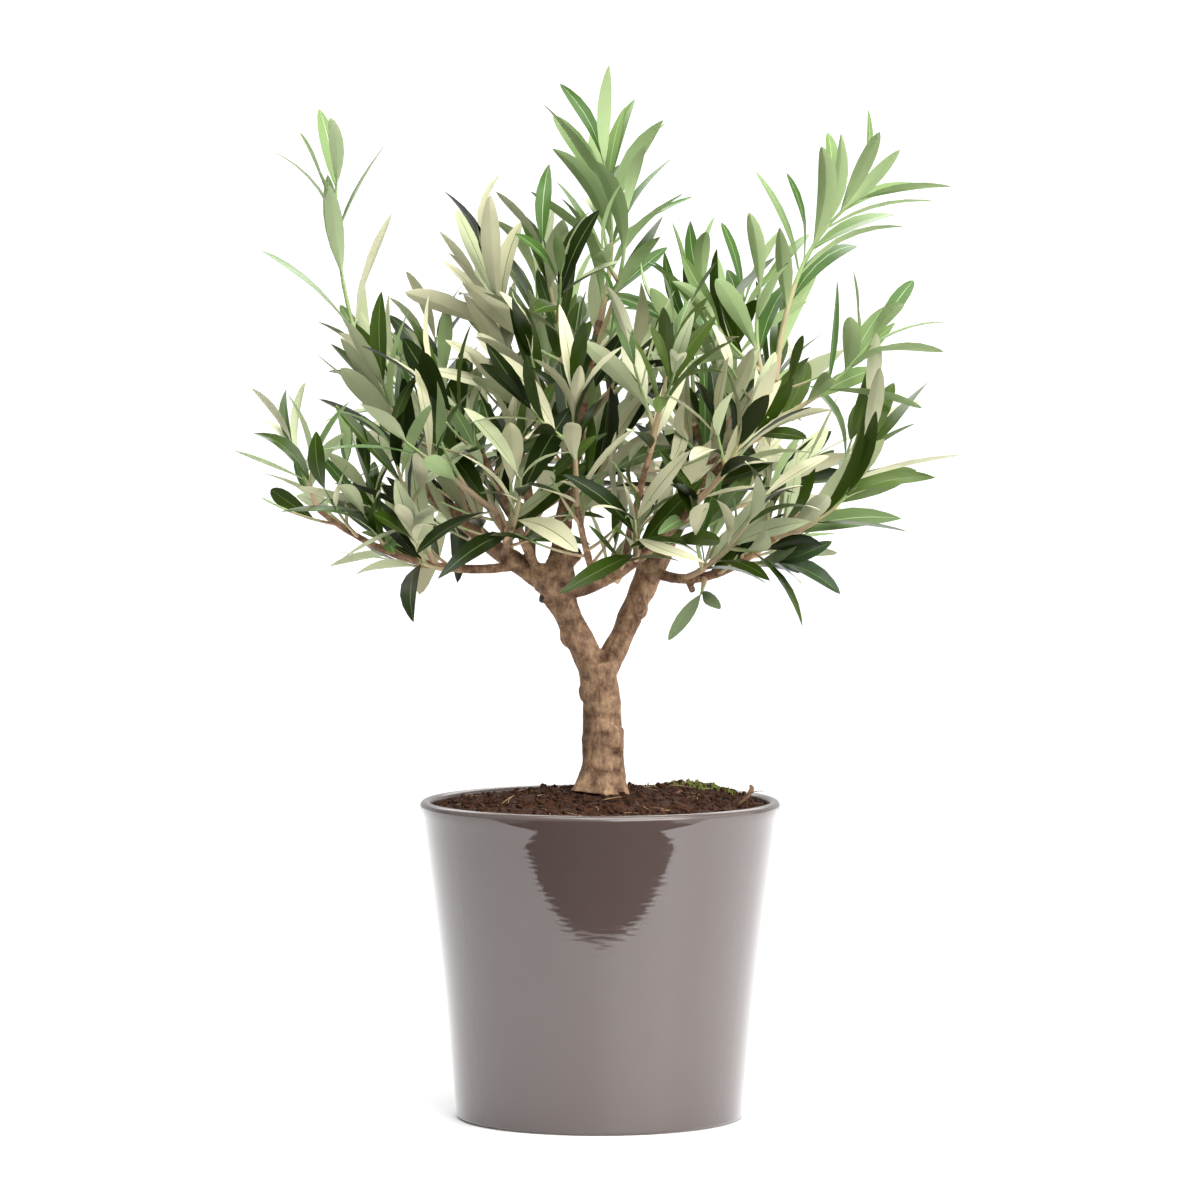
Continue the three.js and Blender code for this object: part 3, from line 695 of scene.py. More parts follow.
class Arc:
    """A limb's centreline: one arc from base to tip whose middle stands off the chord by bow."""

    def __init__(self, base: Vector, tip: Vector, bow: Vector) -> None:
        """Sets up the arc.

        Args:
            base: Where it starts.
            tip: Where it ends.
            bow: How far its middle stands off the straight line.
        """
        self.base = base.copy()
        self.tip = tip.copy()
        self.control = (base + tip) / 2 + 2 * bow
        points = [self.point(n / 200) for n in range(201)]
        self.length = sum((b - a).length for a, b in zip(points, points[1:]))
        across = (tip - base).cross(self.control - base)
        if across.length < 1:
            across = (tip - base).cross(Vector((0.3, 1, 0)))
        self.across = across.normalized()

    def point(self, share: float) -> Vector:
        """Returns the point at a share of the arc."""
        rest = 1 - share
        return self.base * rest**2 + self.control * (2 * rest * share) + self.tip * share**2

    def tangent(self, share: float) -> Vector:
        """Returns the direction along the arc at a share of it."""
        return (
            (self.control - self.base) * (1 - share) + (self.tip - self.control) * share
        ).normalized()

    def side(self, share: float) -> Vector:
        """Returns the direction across the arc that lies in its plane."""
        return self.tangent(share).cross(self.across).normalized()

    def around(self, share: float, angle: float) -> Vector:
        """Returns the direction off the arc at an angle about it.

        Args:
            share: The place along the arc.
            angle: Radians about the arc, 0 in the plane of the front view.

        Returns:
            A unit vector square to the arc.
        """
        along = self.tangent(share)
        flat = Vector((0, 1, 0)).cross(along).normalized()
        return flat * math.cos(angle) + along.cross(flat) * math.sin(angle)


def arc_rod(arc: Arc, radius_at: Radius, sides: int, steps: int) -> bmesh.types.BMesh:
    """Makes a capped rod along an arc.

    Args:
        arc: The centreline.
        radius_at: The radius for a share of the length and an angle.
        sides: Faces around.
        steps: Rings of faces along.

    Returns:
        The rod as a new bmesh, in the arc's own units.
    """
    form = bmesh.new()
    bmesh.ops.create_cone(
        form, cap_ends=True, cap_tris=False, segments=sides, radius1=1, radius2=1, depth=1
    )
    uprights = [edge for edge in form.edges if abs(edge.verts[0].co.z - edge.verts[1].co.z) > 0.5]
    bmesh.ops.subdivide_edges(form, edges=uprights, cuts=steps - 1)
    for vertex in form.verts:
        share = min(max(vertex.co.z + 0.5, 0.0), 1.0)
        radius = radius_at(share, math.atan2(vertex.co.y, vertex.co.x))
        off = arc.side(share) * vertex.co.x + arc.across * vertex.co.y
        vertex.co = arc.point(share) + off * radius
    bmesh.ops.recalc_face_normals(form, faces=form.faces)
    return form


# ---------------------------------------------------------------- pot


@dataclass
class Pot:
    """Conical cover pot with a half-round lip, rounded foot and thin wall, in millimetres."""

    height: float = 168.0
    rim_radius: float = 95.0
    foot_radius: float = 75.9
    hollow: float = 0.7
    wall: float = 5.6
    floor: float = 8.0
    foot_round: float = 2.5
    foot_ring: float = 5.0
    foot_recess: float = 1.2
    wiped_height: float = 0.25
    wiped_inset: float = 6.0
    sides: int = 160

    def radius(self, height: float) -> float:
        """Returns the wall's outer radius at a height."""
        share = height / self.height
        return mix(self.foot_radius, self.rim_radius, share) - 4 * self.hollow * share * (1 - share)

    def inner_radius(self, height: float) -> float:
        """Returns the wall's inner radius at a height."""
        share = (height - self.floor) / (self.height - self.floor)
        return mix(self.radius(self.floor), self.rim_radius, share) - self.wall

    def profile(self) -> list[tuple[float, float]]:
        """Returns radius and height of the section, from the middle of the foot to the floor."""
        centre = self.radius(self.foot_round) - self.foot_round
        ring = centre - self.foot_ring
        points = [(0.0, self.foot_recess), (ring - 1.5, self.foot_recess), (ring, 0.0)]
        for step in range(7):
            angle = math.radians(-90 + 15 * step)
            across, up = math.cos(angle), math.sin(angle)
            points.append((centre + self.foot_round * across, self.foot_round * (1 + up)))
        points += [(self.radius(h), h) for h in np.linspace(8, self.height - 8, 20)]
        lip = self.wall / 2
        for step in range(13):
            angle = math.radians(15 * step)
            across, up = lip * math.cos(angle), lip * math.sin(angle)
            points.append((self.rim_radius - lip + across, self.height - lip + up))
        points += [(self.inner_radius(h), h) for h in (150, 120, 80, 40, self.floor + 3)]
        points += [(self.inner_radius(self.floor) - 3, self.floor), (0.0, self.floor)]
        return points

    def build(self) -> bpy.types.Object:
        """Turns the section about the pot's axis and dresses it.

        Returns:
            The pot's piece.
        """
        form = turned(self.profile(), self.sides)
        recess = self.foot_recess + 0.1
        for face in form.faces:
            middle = face.calc_center_median()
            inside = middle.xy.length < self.foot_radius - self.wiped_inset
            if middle.z < self.wiped_height or (middle.z < recess and inside):
                face.material_index = 1
        to_part_frame(form)
        materials = (GlazedEarthenware().material(), BareClay().material())
        piece = finished(form, "glazed_pot", materials, sharp=40)
        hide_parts("pot")
        return piece


# ---------------------------------------------------------------- soil


@dataclass
class Soil:
    """The pot's filling: an uneven crumbly top with loose crumbs, fibres, moss and a dry curl."""

    pot: Pot
    height: float = SOIL_HEIGHT
    seat_radius: float = 19.0
    edge_height: float = 164.0
    lump: float = 1.3
    mound: tuple[float, float, float, float] = (50.0, 48.0, 5.0, 26.0)
    crumbs: int = 2300
    fibres: int = 70
    moss_tufts: int = 420
    strewn_radius: float = 82.0
    clear_radius: float = 84.0
    rings: int = 64
    sides: int = 240
    chance: random.Random = field(default_factory=lambda: random.Random(11))

    def top(self, x: float, y: float) -> float:
        """Returns the height of the soil at a place, with its low mound and lumps."""
        distance = math.hypot(x, y)
        reach = self.pot.rim_radius - self.pot.wall - self.seat_radius
        share = max(0.0, (distance - self.seat_radius) / reach)
        lump = self.lump * (
            math.sin(0.11 * x + 1.3) * math.cos(0.13 * y) + math.sin(0.21 * y - 0.09 * x)
        )
        middle_x, middle_y, height, spread = self.mound
        rise = height * math.exp(-(math.hypot(x - middle_x, y - middle_y) ** 2) / spread**2)
        base = mix(self.height, self.edge_height, share**1.6)
        return base + lump * min(1.0, 3 * share) * (1.15 - share) + rise * min(1.0, 3 * share)

    def crumbly(self, x: float, y: float) -> float:
        """Returns the top's height with crumbs of two sizes."""
        coarse = noise.noise(Vector((x, y, 0)) / 4.2)
        fine = noise.noise(Vector((x, y, 7)) / 1.6)
        return self.top(x, y) + 1.1 * coarse + 0.7 * fine

    def ground(self) -> bmesh.types.BMesh:
        """Returns the filling as a closed turned body with its uneven top."""
        low = self.pot.floor + 0.3
        edge = self.pot.inner_radius(self.edge_height) - 0.3
        section = [(0.0, low), (self.pot.inner_radius(low) - 0.3, low)]
        section += [(edge * (1 - n / self.rings), self.edge_height) for n in range(self.rings + 1)]
        form = turned(section, self.sides)
        for vertex in form.verts:
            if vertex.co.z > self.edge_height - 1:
                vertex.co.z = self.crumbly(vertex.co.x, vertex.co.y)
        return form

    def spot(self, inner: float, outer: float) -> tuple[float, float]:
        """Returns an evenly drawn place between two radii."""
        radius = math.sqrt(mix(inner**2, outer**2, self.chance.random()))
        angle = self.chance.uniform(0, math.tau)
        return radius * math.cos(angle), radius * math.sin(angle)

    def add_crumbs(self, form: bmesh.types.BMesh) -> None:
        """Strews irregular crumbs over the top."""
        loose = bmesh.new()
        for _ in range(self.crumbs):
            x, y = self.spot(12, self.pot.rim_radius - self.pot.wall - 2.5)
            size = 0.5 + 1.5 * self.chance.random() ** 2.5
            turn = Euler([self.chance.uniform(0, math.tau) for _ in range(3)])
            stretch = [size * self.chance.uniform(0.6, 1.2) for _ in range(3)]
            spot = Vector((x, y, self.crumbly(x, y) + 0.3 * size))
            place = Matrix.LocRotScale(spot, turn, stretch)
            bmesh.ops.create_icosphere(loose, subdivisions=1, radius=1, matrix=place)
        for vertex in loose.verts:
            vertex.co += 0.3 * noise.noise_vector(vertex.co * 0.9)
        pour(form, loose, 0)

    def add_fibres(self, form: bmesh.types.BMesh) -> None:
        """Lays thin fibres and root ends on the top."""
        for index in range(self.fibres):
            x, y = self.spot(16, self.strewn_radius)
            angle = self.chance.uniform(0, math.tau)
            step = Vector((math.cos(angle), math.sin(angle), 0)) * self.chance.uniform(4, 15)
            start = Vector((x, y, self.crumbly(x, y) + 0.9))
            end = start + step
            if math.hypot(end.x, end.y) > self.clear_radius:
                continue
            end.z = self.crumbly(end.x, end.y) + 0.9
            bow = Vector((-step.y, step.x, 0)) * self.chance.uniform(-0.12, 0.12)
            bow.z = 0.4
            thick = self.chance.uniform(0.16, 0.36)

            def radius_at(share: float, _angle: float, thick: float = thick) -> float:
                """Returns the fibre's radius, thinner towards its end."""
                return thick * (1 - 0.5 * share)

            pour(form, arc_rod(Arc(start, end, bow), radius_at, 4, 4), 1 if index % 3 else 3)

    def add_moss(self, form: bmesh.types.BMesh) -> None:
        """Plants tufts of moss on the mound behind the trunk."""
        tufts = bmesh.new()
        middle_x, middle_y, _, spread = self.mound
        for _ in range(self.moss_tufts):
            x = self.chance.gauss(middle_x + 4, 0.45 * spread)
            y = self.chance.gauss(middle_y, 0.36 * spread)
            bald = noise.noise(Vector((x, y, 3)) / 9) < -0.12
            if bald or math.hypot(x, y) > self.strewn_radius:
                continue
            lean = Euler((self.chance.uniform(-0.6, 0.6), self.chance.uniform(-0.6, 0.6), 0))
            size = self.chance.uniform(0.8, 1.9)
            spot = Vector((x, y, self.crumbly(x, y) + 0.5 * size))
            place = Matrix.LocRotScale(spot, lean, Vector((size, size, 1.4 * size)))
            bmesh.ops.create_cone(
                tufts, cap_ends=True, segments=5, radius1=0.6, radius2=0.12, depth=1.4, matrix=place
            )
        pour(form, tufts, 2)

    def add_curl(self, form: bmesh.types.BMesh) -> None:
        """Lays a dry curled leaf and a stray root by the right side of the rim."""
        curl = arc_rod(
            Arc(Vector((73, -20, 167.5)), Vector((79, -10, 176.5)), Vector((3, -2, 1.5))),
            lambda share, angle: 0.5 + 1.3 * math.sin(math.pi * share) * abs(math.cos(angle)),
            10,
            12,
        )
        pour(form, curl, 4)
        root = arc_rod(
            Arc(Vector((70, -22, 168)), Vector((86, -12, 173.5)), Vector((1, -2, 2.5))),
            lambda share, _angle: 0.42 * (1 - 0.6 * share),
            6,
            14,
        )
        pour(form, root, 3)

    def build(self) -> bpy.types.Object:
        """Builds and dresses the filling.

        Returns:
            The soil's piece.
        """
        form = self.ground()
        self.add_crumbs(form)
        self.add_fibres(form)
        self.add_moss(form)
        self.add_curl(form)
        to_part_frame(form)
        materials = (
            PottingCompost().material(),
            PlainMatter("dry_coir_fibre", 0x9A7B58).material(),
            PlainMatter("cushion_moss", 0x5F6A26, 0.9).material(),
            PlainMatter("dark_root_end", 0x3A2417).material(),
            PlainMatter("dry_curled_leaf", 0x6E4F33, 0.7).material(),
        )
        piece = finished(form, "potting_soil", materials, sharp=35)
        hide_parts("soil")
        return piece


# ---------------------------------------------------------------- wood


@dataclass(frozen=True)
class Stub:
    """The short end of a pruned side shoot: its limb, place, direction, length and radius."""

    on: str
    at: float
    way: Place
    length: float
    radius: float
    pale: bool = False


STUBS = (
    Stub("left_stem", 1.0, (0.75, -0.5, 0.9), 20, 4.8),
    Stub("left_stem", 0.82, (-0.9, -0.5, 0.15), 9, 3.4),
    Stub("left_bough", 0.98, (-0.5, -0.7, 0.5), 9, 3.0),
    Stub("left_bough", 0.5, (0.2, -0.8, 0.6), 8, 2.2),
    Stub("right_leader", 0.55, (-0.35, -0.6, 0.9), 26, 1.9, True),
    Stub("right_stem", 0.94, (-0.7, -0.5, 0.6), 8, 3.0),
    Stub("right_low_bough", 0.3, (0.3, -0.5, -0.8), 6, 1.6),
    Stub("front_bough", 0.45, (0.2, -0.8, -0.4), 5, 1.7, True),
)


@dataclass(frozen=True)
class Knot:
    """A swelling where old shoots came off: its limb, place, way off the axis and radius."""

    on: str
    at: float
    way: Place
    radius: float


KNOTS = (
    Knot("trunk", 0.42, (5.0, -5.0, 0.0), 6.5),
    Knot("trunk", 0.78, (-6.0, -3.5, 0.0), 5.5),
    Knot("left_stem", 0.45, (-4.5, -3.5, 0.0), 5.0),
    Knot("left_stem", 0.95, (-3.0, -4.0, 2.0), 7.5),
    Knot("left_stem", 1.0, (5.0, -3.0, 5.0), 7.0),
    Knot("right_stem", 0.55, (3.0, -3.5, 0.0), 4.6),
    Knot("right_stem", 0.98, (0.5, -3.0, 2.0), 7.2),
    Knot("left_bough", 0.32, (0.0, -2.5, 1.5), 4.6),
    Knot("left_bough", 0.97, (-2.0, -2.0, 1.0), 5.2),
    Knot("front_bough", 0.45, (0.0, -0.8, 0.8), 4.2),
    Knot("right_leader", 0.5, (-1.0, -1.5, 0.0), 4.6),
    Knot("leader", 0.24, (0.5, -1.5, 0.0), 5.0),
)


@dataclass
class Wood:
    """Trunk, stems and boughs as one body with the bark's relief, in millimetres."""

    tip: Place = (-2.0, 0.0, 70.0)
    bow: Place = (2.5, 1.0, 0.0)
    radius: Span = (10.4, 9.4)
    flare: float = 5.2
    flare_height: float = 9.0
    root_ridges: int = 5
    foot: float = -2.2
    voxel: float = 0.8
    sawn: float = 2.0
    arcs: dict[str, Arc] = field(default_factory=dict)

    def grow(self) -> None:
        """Works out the centrelines, each springing from the one it is on."""
        self.arcs["trunk"] = Arc(Vector((0, 0, 0.3)), Vector(self.tip), Vector(self.bow))
        for limb in LIMBS:
            base = self.arcs[limb.on].point(limb.at)
            self.arcs[limb.name] = Arc(base, Vector(limb.tip), Vector(limb.bow))

    def trunk_radius(self, share: float, angle: float) -> float:
        """Returns the trunk's radius: root flare with ridges, then a slight waist."""
        rise = share * self.tip[2] / self.flare_height
        ridge = 1 + 0.3 * math.cos(self.root_ridges * angle + 0.7)
        return mix(*self.radius, share**2) + self.flare * math.exp(-rise) * ridge

    @staticmethod
    def relief(share: float, angle: float, length: float, radius: float, seed: float) -> float:
        """Returns the bark's lift off a smooth limb.

        Args:
            share: The place along the limb.
            angle: Radians about it.
            length: The limb's length.
            radius: Its radius there.
            seed: Tells one limb's pattern from another's.

        Returns:
            Millimetres to add to the radius.
        """
        ring = Vector((math.cos(angle), math.sin(angle), 0)) * radius
        lumps = noise.noise(Vector((ring.x / 5, ring.y / 5, share * length / 11 + seed)))
        ribs = noise.noise(Vector((ring.x / 1.7, ring.y / 1.7, share * length / 14 + seed)))
        spacing = 9 + radius
        nearest = share * length % spacing - spacing / 2
        scar = math.exp(-((nearest / 1.5) ** 2)) * (0.5 + 0.5 * math.cos(2 * angle + seed))
        return min(radius, 6) * (0.16 * lumps + 0.12 * ribs + 0.04 * scar)

    def trunk(self) -> bmesh.types.BMesh:
        """Returns the trunk, cut flat a little below the soil's top."""
        arc = self.arcs["trunk"]

        def radius_at(share: float, angle: float) -> float:
            """Returns the trunk's radius with its bark."""
            radius = self.trunk_radius(share, angle)
            return radius + self.relief(share, angle, arc.length, radius, 0.0)

        form = arc_rod(arc, radius_at, 72, 90)
        for vertex in form.verts:
            if vertex.co.z < 0.9:
                vertex.co.z = self.foot
        return form

    def limb(self, limb: Limb, seed: float) -> bmesh.types.BMesh:
        """Returns one limb with its bark.

        Args:
            limb: The limb.
            seed: Tells its pattern from the others'.

        Returns:
            The limb's rod.
        """
        arc = self.arcs[limb.name]

        def radius_at(share: float, angle: float) -> float:
            """Returns the limb's radius with its bark."""
            radius = limb.radius_at(share)
            return radius + self.relief(share, angle, arc.length, radius, seed)

        sides = 48 if limb.stout else 24
        return arc_rod(arc, radius_at, sides, max(12, round(arc.length / 1.4)))

    def cut(self, stub: Stub) -> tuple[Vector, Vector]:
        """Returns the middle of a stub's cut and the way it faces."""
        way = Vector(stub.way).normalized()
        return self.arcs[stub.on].point(stub.at) + way * (stub.length + self.sawn), way

    def stub(self, stub: Stub) -> bmesh.types.BMesh:
        """Returns one pruned end with a slight collar and a flat cut."""
        centre, way = self.cut(stub)
        arc = Arc(self.arcs[stub.on].point(stub.at), centre, way.orthogonal() * 0.3)

        def radius_at(share: float, angle: float) -> float:
            """Returns the stub's radius: a collar at its foot and a healing rim about its cut."""
            rim = 0.18 * math.exp(-(((share - 0.93) / 0.08) ** 2))
            return stub.radius * (1.25 - 0.3 * share + 0.08 * math.sin(3 * angle) + rim)

        return arc_rod(arc, radius_at, 18, 10)

    def knot(self, knot: Knot) -> bmesh.types.BMesh:
        """Returns one knot as a lumpy ball, drawn out a little along its limb."""
        arc = self.arcs[knot.on]
        form = bmesh.new()
        bmesh.ops.create_icosphere(form, subdivisions=4, radius=knot.radius)
        along = arc.tangent(knot.at)
        middle = arc.point(knot.at) + Vector(knot.way)
        for vertex in form.verts:
            lump = 1 + 0.16 * noise.noise(vertex.co / 3.5 + middle)
            drawn = along * (0.35 * vertex.co.dot(along))
            vertex.co = middle + (vertex.co + drawn) * lump
        return form

    def skin(self) -> bmesh.types.BMesh:
        """Joins trunk, limbs, stubs and knots into one closed skin.

        Returns:
            The skin in metres, in the part's frame.
        """
        form = self.trunk()
        for index, limb in enumerate(LIMBS):
            pour(form, self.limb(limb, 3.7 * (index + 1)))
        for stub in STUBS:
            pour(form, self.stub(stub))
        for knot in KNOTS:
            pour(form, self.knot(knot))
        to_part_frame(form, SOIL_HEIGHT)
        mesh = as_mesh(form, "rough_wood")
        rough = put_up("rough_wood", mesh)
        remesh = rough.modifiers.new("skin", "REMESH")
        remesh.mode = "VOXEL"
        remesh.voxel_size = self.voxel * MM
        joined = bmesh.new()
        joined.from_object(rough, bpy.context.evaluated_depsgraph_get())
        bpy.data.objects.remove(rough)
        bpy.data.meshes.remove(mesh)
        return joined

    def mark_cuts(self, form: bmesh.types.BMesh) -> None:
        """Gives the pruned ends their slots in a form in metres, old cuts and fresh ones.

        The old cuts are dark both as weathered wood and as painted shade of a hollow.
        """
        for stub in STUBS:
            centre, way = self.cut(stub)
            centre.z += SOIL_HEIGHT
            middle, reach = centre * MM, 1.35 * stub.radius * MM
            for face in form.faces:
                off = face.calc_center_median() - middle
                if off.length < reach and face.normal.dot(way) > 0.75:
                    # Old cuts get the dark slot: weathered wood, and painted shade standing for a
                    # hollow.
                    face.material_index = 2 if stub.pale else 1

    def build(self) -> bpy.types.Object:
        """Smooths and grains the skin, marks its cuts and dresses it.

        Returns:
            The wood's piece.
        """
        form = self.skin()
        axes = {"use_axis_x": True, "use_axis_y": True, "use_axis_z": True}
        bmesh.ops.smooth_vert(form, verts=form.verts, factor=0.4, **axes)
        form.normal_update()
        for vertex in form.verts:
            grain = Vector((vertex.co.x * 900, vertex.co.y * 900, vertex.co.z * 260))
            vertex.co += vertex.normal * 0.00016 * noise.noise(grain)
        self.mark_cuts(form)
        materials = (
            OliveBark().material(),
            # Dark old cut: weathered wood, and painted shade standing for the hollow of an old
            # wound.
            PlainMatter("dark_cut_and_hollow_shade", 0x33261E, 0.9).material(),
            PlainMatter("fresh_cut_wood", 0xC4A783, 0.8).material(),
        )
        piece = finished(form, "barked_wood", materials, sharp=60, outward=False)
        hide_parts("trunk", *(limb.name for limb in LIMBS))
        return piece


# ---------------------------------------------------------------- leaves and shoots

DIAMOND = ((0, 2, 4), (2, 1, 4), (1, 3, 4), (3, 0, 4), (2, 0, 5), (1, 2, 5), (3, 1, 5), (0, 3, 5))
STALK, HALF_WIDTH, HALF_THICK, LIFT = 0.1, 0.15, 0.01, 0.05
SUNK = 0.3
GOLDEN_ANGLE = 137


@dataclass
class Leaf:
    """One leaf's place: root, direction, upper face and length, then how it curls.

    The curl and the tone are drawn once the leaf has found room.
    """

    root: Vector
    along: Vector
    face: Vector
    length: float
    width: float = 0.0
    arch: float = 0.0
    twist: float = 0.0
    sickle: float = 0.0
    fold: float = 0.0
    point: float = 0.0
    tone: Tone = Tone.MID
    rolled: bool = False

    @property
    def side(self) -> Vector:
        """The direction across the leaf."""
        return self.face.cross(self.along)

    def diamond(self, blade: bool, swell: float) -> Form:
        """Returns the six-cornered solid leaf that looks for room.

        Args:
            blade: True without the stalk end.
            swell: How far the form is swollen.

        Returns:
            Its corners, the two ends first, and its faces.
        """
        start = STALK * self.length if blade else -SUNK - swell
        half = self.length * HALF_WIDTH + swell
        thick = self.length * HALF_THICK + swell
        end = self.length + swell
        middle = self.root + self.along * ((start + end) / 2) + self.face * (LIFT * self.length)
        corners = [
            self.root + self.along * start,
            self.root + self.along * end,
            middle + self.side * half,
            middle - self.side * half,
            middle + self.face * thick,
            middle - self.face * thick,
        ]
        return corners, DIAMOND


class Room:
    """What already stands in the crown, for leaves and twigs that look for room."""

    def __init__(self) -> None:
        """Starts with nothing taken."""
        self.trees: list[BVHTree] = []
        self.low = np.zeros((0, 3))
        self.high = np.zeros((0, 3))

    def copy(self) -> "Room":
        """Returns another room with the same things in it."""
        other = Room()
        other.trees, other.low, other.high = list(self.trees), self.low, self.high
        return other

    def take(self, points: list[Vector], faces: Iterable[tuple[int, ...]]) -> None:
        """Marks the space of one form as taken."""
        corners = np.array(points)
        self.trees.append(BVHTree.FromPolygons(points, faces))
        self.low = np.vstack([self.low, corners.min(0)])
        self.high = np.vstack([self.high, corners.max(0)])

    def free(self, points: list[Vector], faces: Iterable[tuple[int, ...]]) -> bool:
        """Returns True if a form crosses nothing that is there."""
        corners = np.array(points)
        near = np.all((self.low <= corners.max(0)) & (self.high >= corners.min(0)), axis=1)
        found = np.flatnonzero(near)
        if not len(found):
            return True
        form = BVHTree.FromPolygons(points, faces)
        return not any(self.trees[index].overlap(form) for index in found)


def rod_shape(arc: Arc, radius_at: Radius, sides: int, steps: int) -> Form:
    """Returns the corners and faces of a rod, for the search for room."""
    form = arc_rod(arc, radius_at, sides, steps)
    form.verts.index_update()
    points = [vertex.co.copy() for vertex in form.verts]
    faces = [tuple(vertex.index for vertex in face.verts) for face in form.faces]
    form.free()
    return points, faces


NODE_SPACING = 11.0
AGE_LIMITS = (0.45, 0.85)
LeafAt = Callable[[float], Leaf]


@dataclass
class Shoot:
    """A leafy stem: its centreline, thickness at both ends and how young it is."""

    arc: Arc
    thick: float
    thin: float
    green: int


@dataclass
class Spray:
    """All that grows from one mass: its shoots and leaves, and what it has taken itself."""

    mass: Mass
    shoots: list[Shoot] = field(default_factory=list)
    leaves: list[Leaf] = field(default_factory=list)
    blades: Room = field(default_factory=Room)


class LeafShape:
    """The outline of one olive leaf: lance-shaped, folded along a pale midrib."""

    stations = (0.0, 0.05, 0.13, 0.27, 0.43, 0.6, 0.76, 0.89, 0.96, 1.0)
    across = (-1.0, -0.04, 0.04, 1.0)

    def __init__(self) -> None:
        """Makes the one leaf that all the others copy."""
        form = bmesh.new()
        bmesh.ops.create_grid(form, x_segments=len(self.stations) - 1, y_segments=3, size=1)
        columns = sorted({round(vertex.co.y, 4) for vertex in form.verts})
        rows = sorted({round(vertex.co.x, 4) for vertex in form.verts})
        for vertex in form.verts:
            row = rows.index(round(vertex.co.x, 4))
            column = columns.index(round(vertex.co.y, 4))
            vertex.co = (self.stations[row], self.across[column], 1.0)
        for face in form.faces:
            middle = face.calc_center_median()
            face.material_index = 2 if abs(middle.y) < 0.03 or middle.x < 0.05 else 0
        bmesh.ops.triangulate(form, faces=form.faces[:])
        upper = form.verts[:] + form.edges[:] + form.faces[:]
        for item in bmesh.ops.duplicate(form, geom=upper)["geom"]:
            if isinstance(item, bmesh.types.BMVert):
                item.co.z = -1.0
            elif isinstance(item, bmesh.types.BMFace):
                item.material_index = 1
                item.normal_flip()
        rim = [v for v in form.verts if abs(v.co.y) > 0.5 or v.co.x in (0.0, 1.0)]
        for vertex in rim:
            vertex.co.z = 0.0
            if vertex.co.x == 1.0:
                vertex.co.y = 0.0
        bmesh.ops.remove_doubles(form, verts=rim, dist=1e-5)
        self.mesh = as_mesh(form, "leaf_shape")
        flat = np.zeros(len(self.mesh.vertices) * 3)
        self.mesh.vertices.foreach_get("co", flat)
        self.grid = flat.reshape(-1, 3)

    @staticmethod
    def half_width(share: np.ndarray, point: float) -> np.ndarray:
        """Returns the outline's half width, 1 at its widest.

        Args:
            share: Shares of the leaf's length.
            point: How pointed its tip is, 0.6 for a blunt one and 1.1 for a sharp one.

        Returns:
            The half width at each share.
        """
        blade = np.clip((share - 0.05) / 0.95, 0, 1)
        widest = 0.85 / (0.85 + point)
        outline = (blade / widest) ** 0.85 * ((1 - blade) / (1 - widest)) ** point
        return np.maximum(outline, np.where(share < 0.9, 0.085, 0.0))

    def placed(self, leaf: Leaf) -> np.ndarray:
        """Returns the corners of one placed leaf.

        Args:
            leaf: Where it grows and how it curls.

        Returns:
            One row of three for each corner, in the tree's millimetres.
        """
        share, across, layer = self.grid.T
        length = leaf.length
        half = self.half_width(share, leaf.point) * length * leaf.width / 2
        angle = leaf.twist * np.clip(share - 0.1, 0, 1)
        bend = 1 - (2 * share - 1) ** 2
        thick = layer * 0.006 * length * (1 - 0.7 * share)
        midrib = (layer < 0) & (np.abs(across) < 0.5)
        rib = np.where(midrib, -0.006 * length * (1 - 0.8 * share), 0)
        flat = across * half
        up = np.abs(flat) * leaf.fold + thick + rib
        side, face, along = (np.array(v) for v in (leaf.side, leaf.face, leaf.along))
        out = flat * np.cos(angle) - up * np.sin(angle) + leaf.sickle * length * bend
        lift = flat * np.sin(angle) + up * np.cos(angle) + leaf.arch * length * bend
        return (
            np.array(leaf.root)
            + np.outer(share * length, along)
            + np.outer(out, side)
            + np.outer(lift, face)
        )


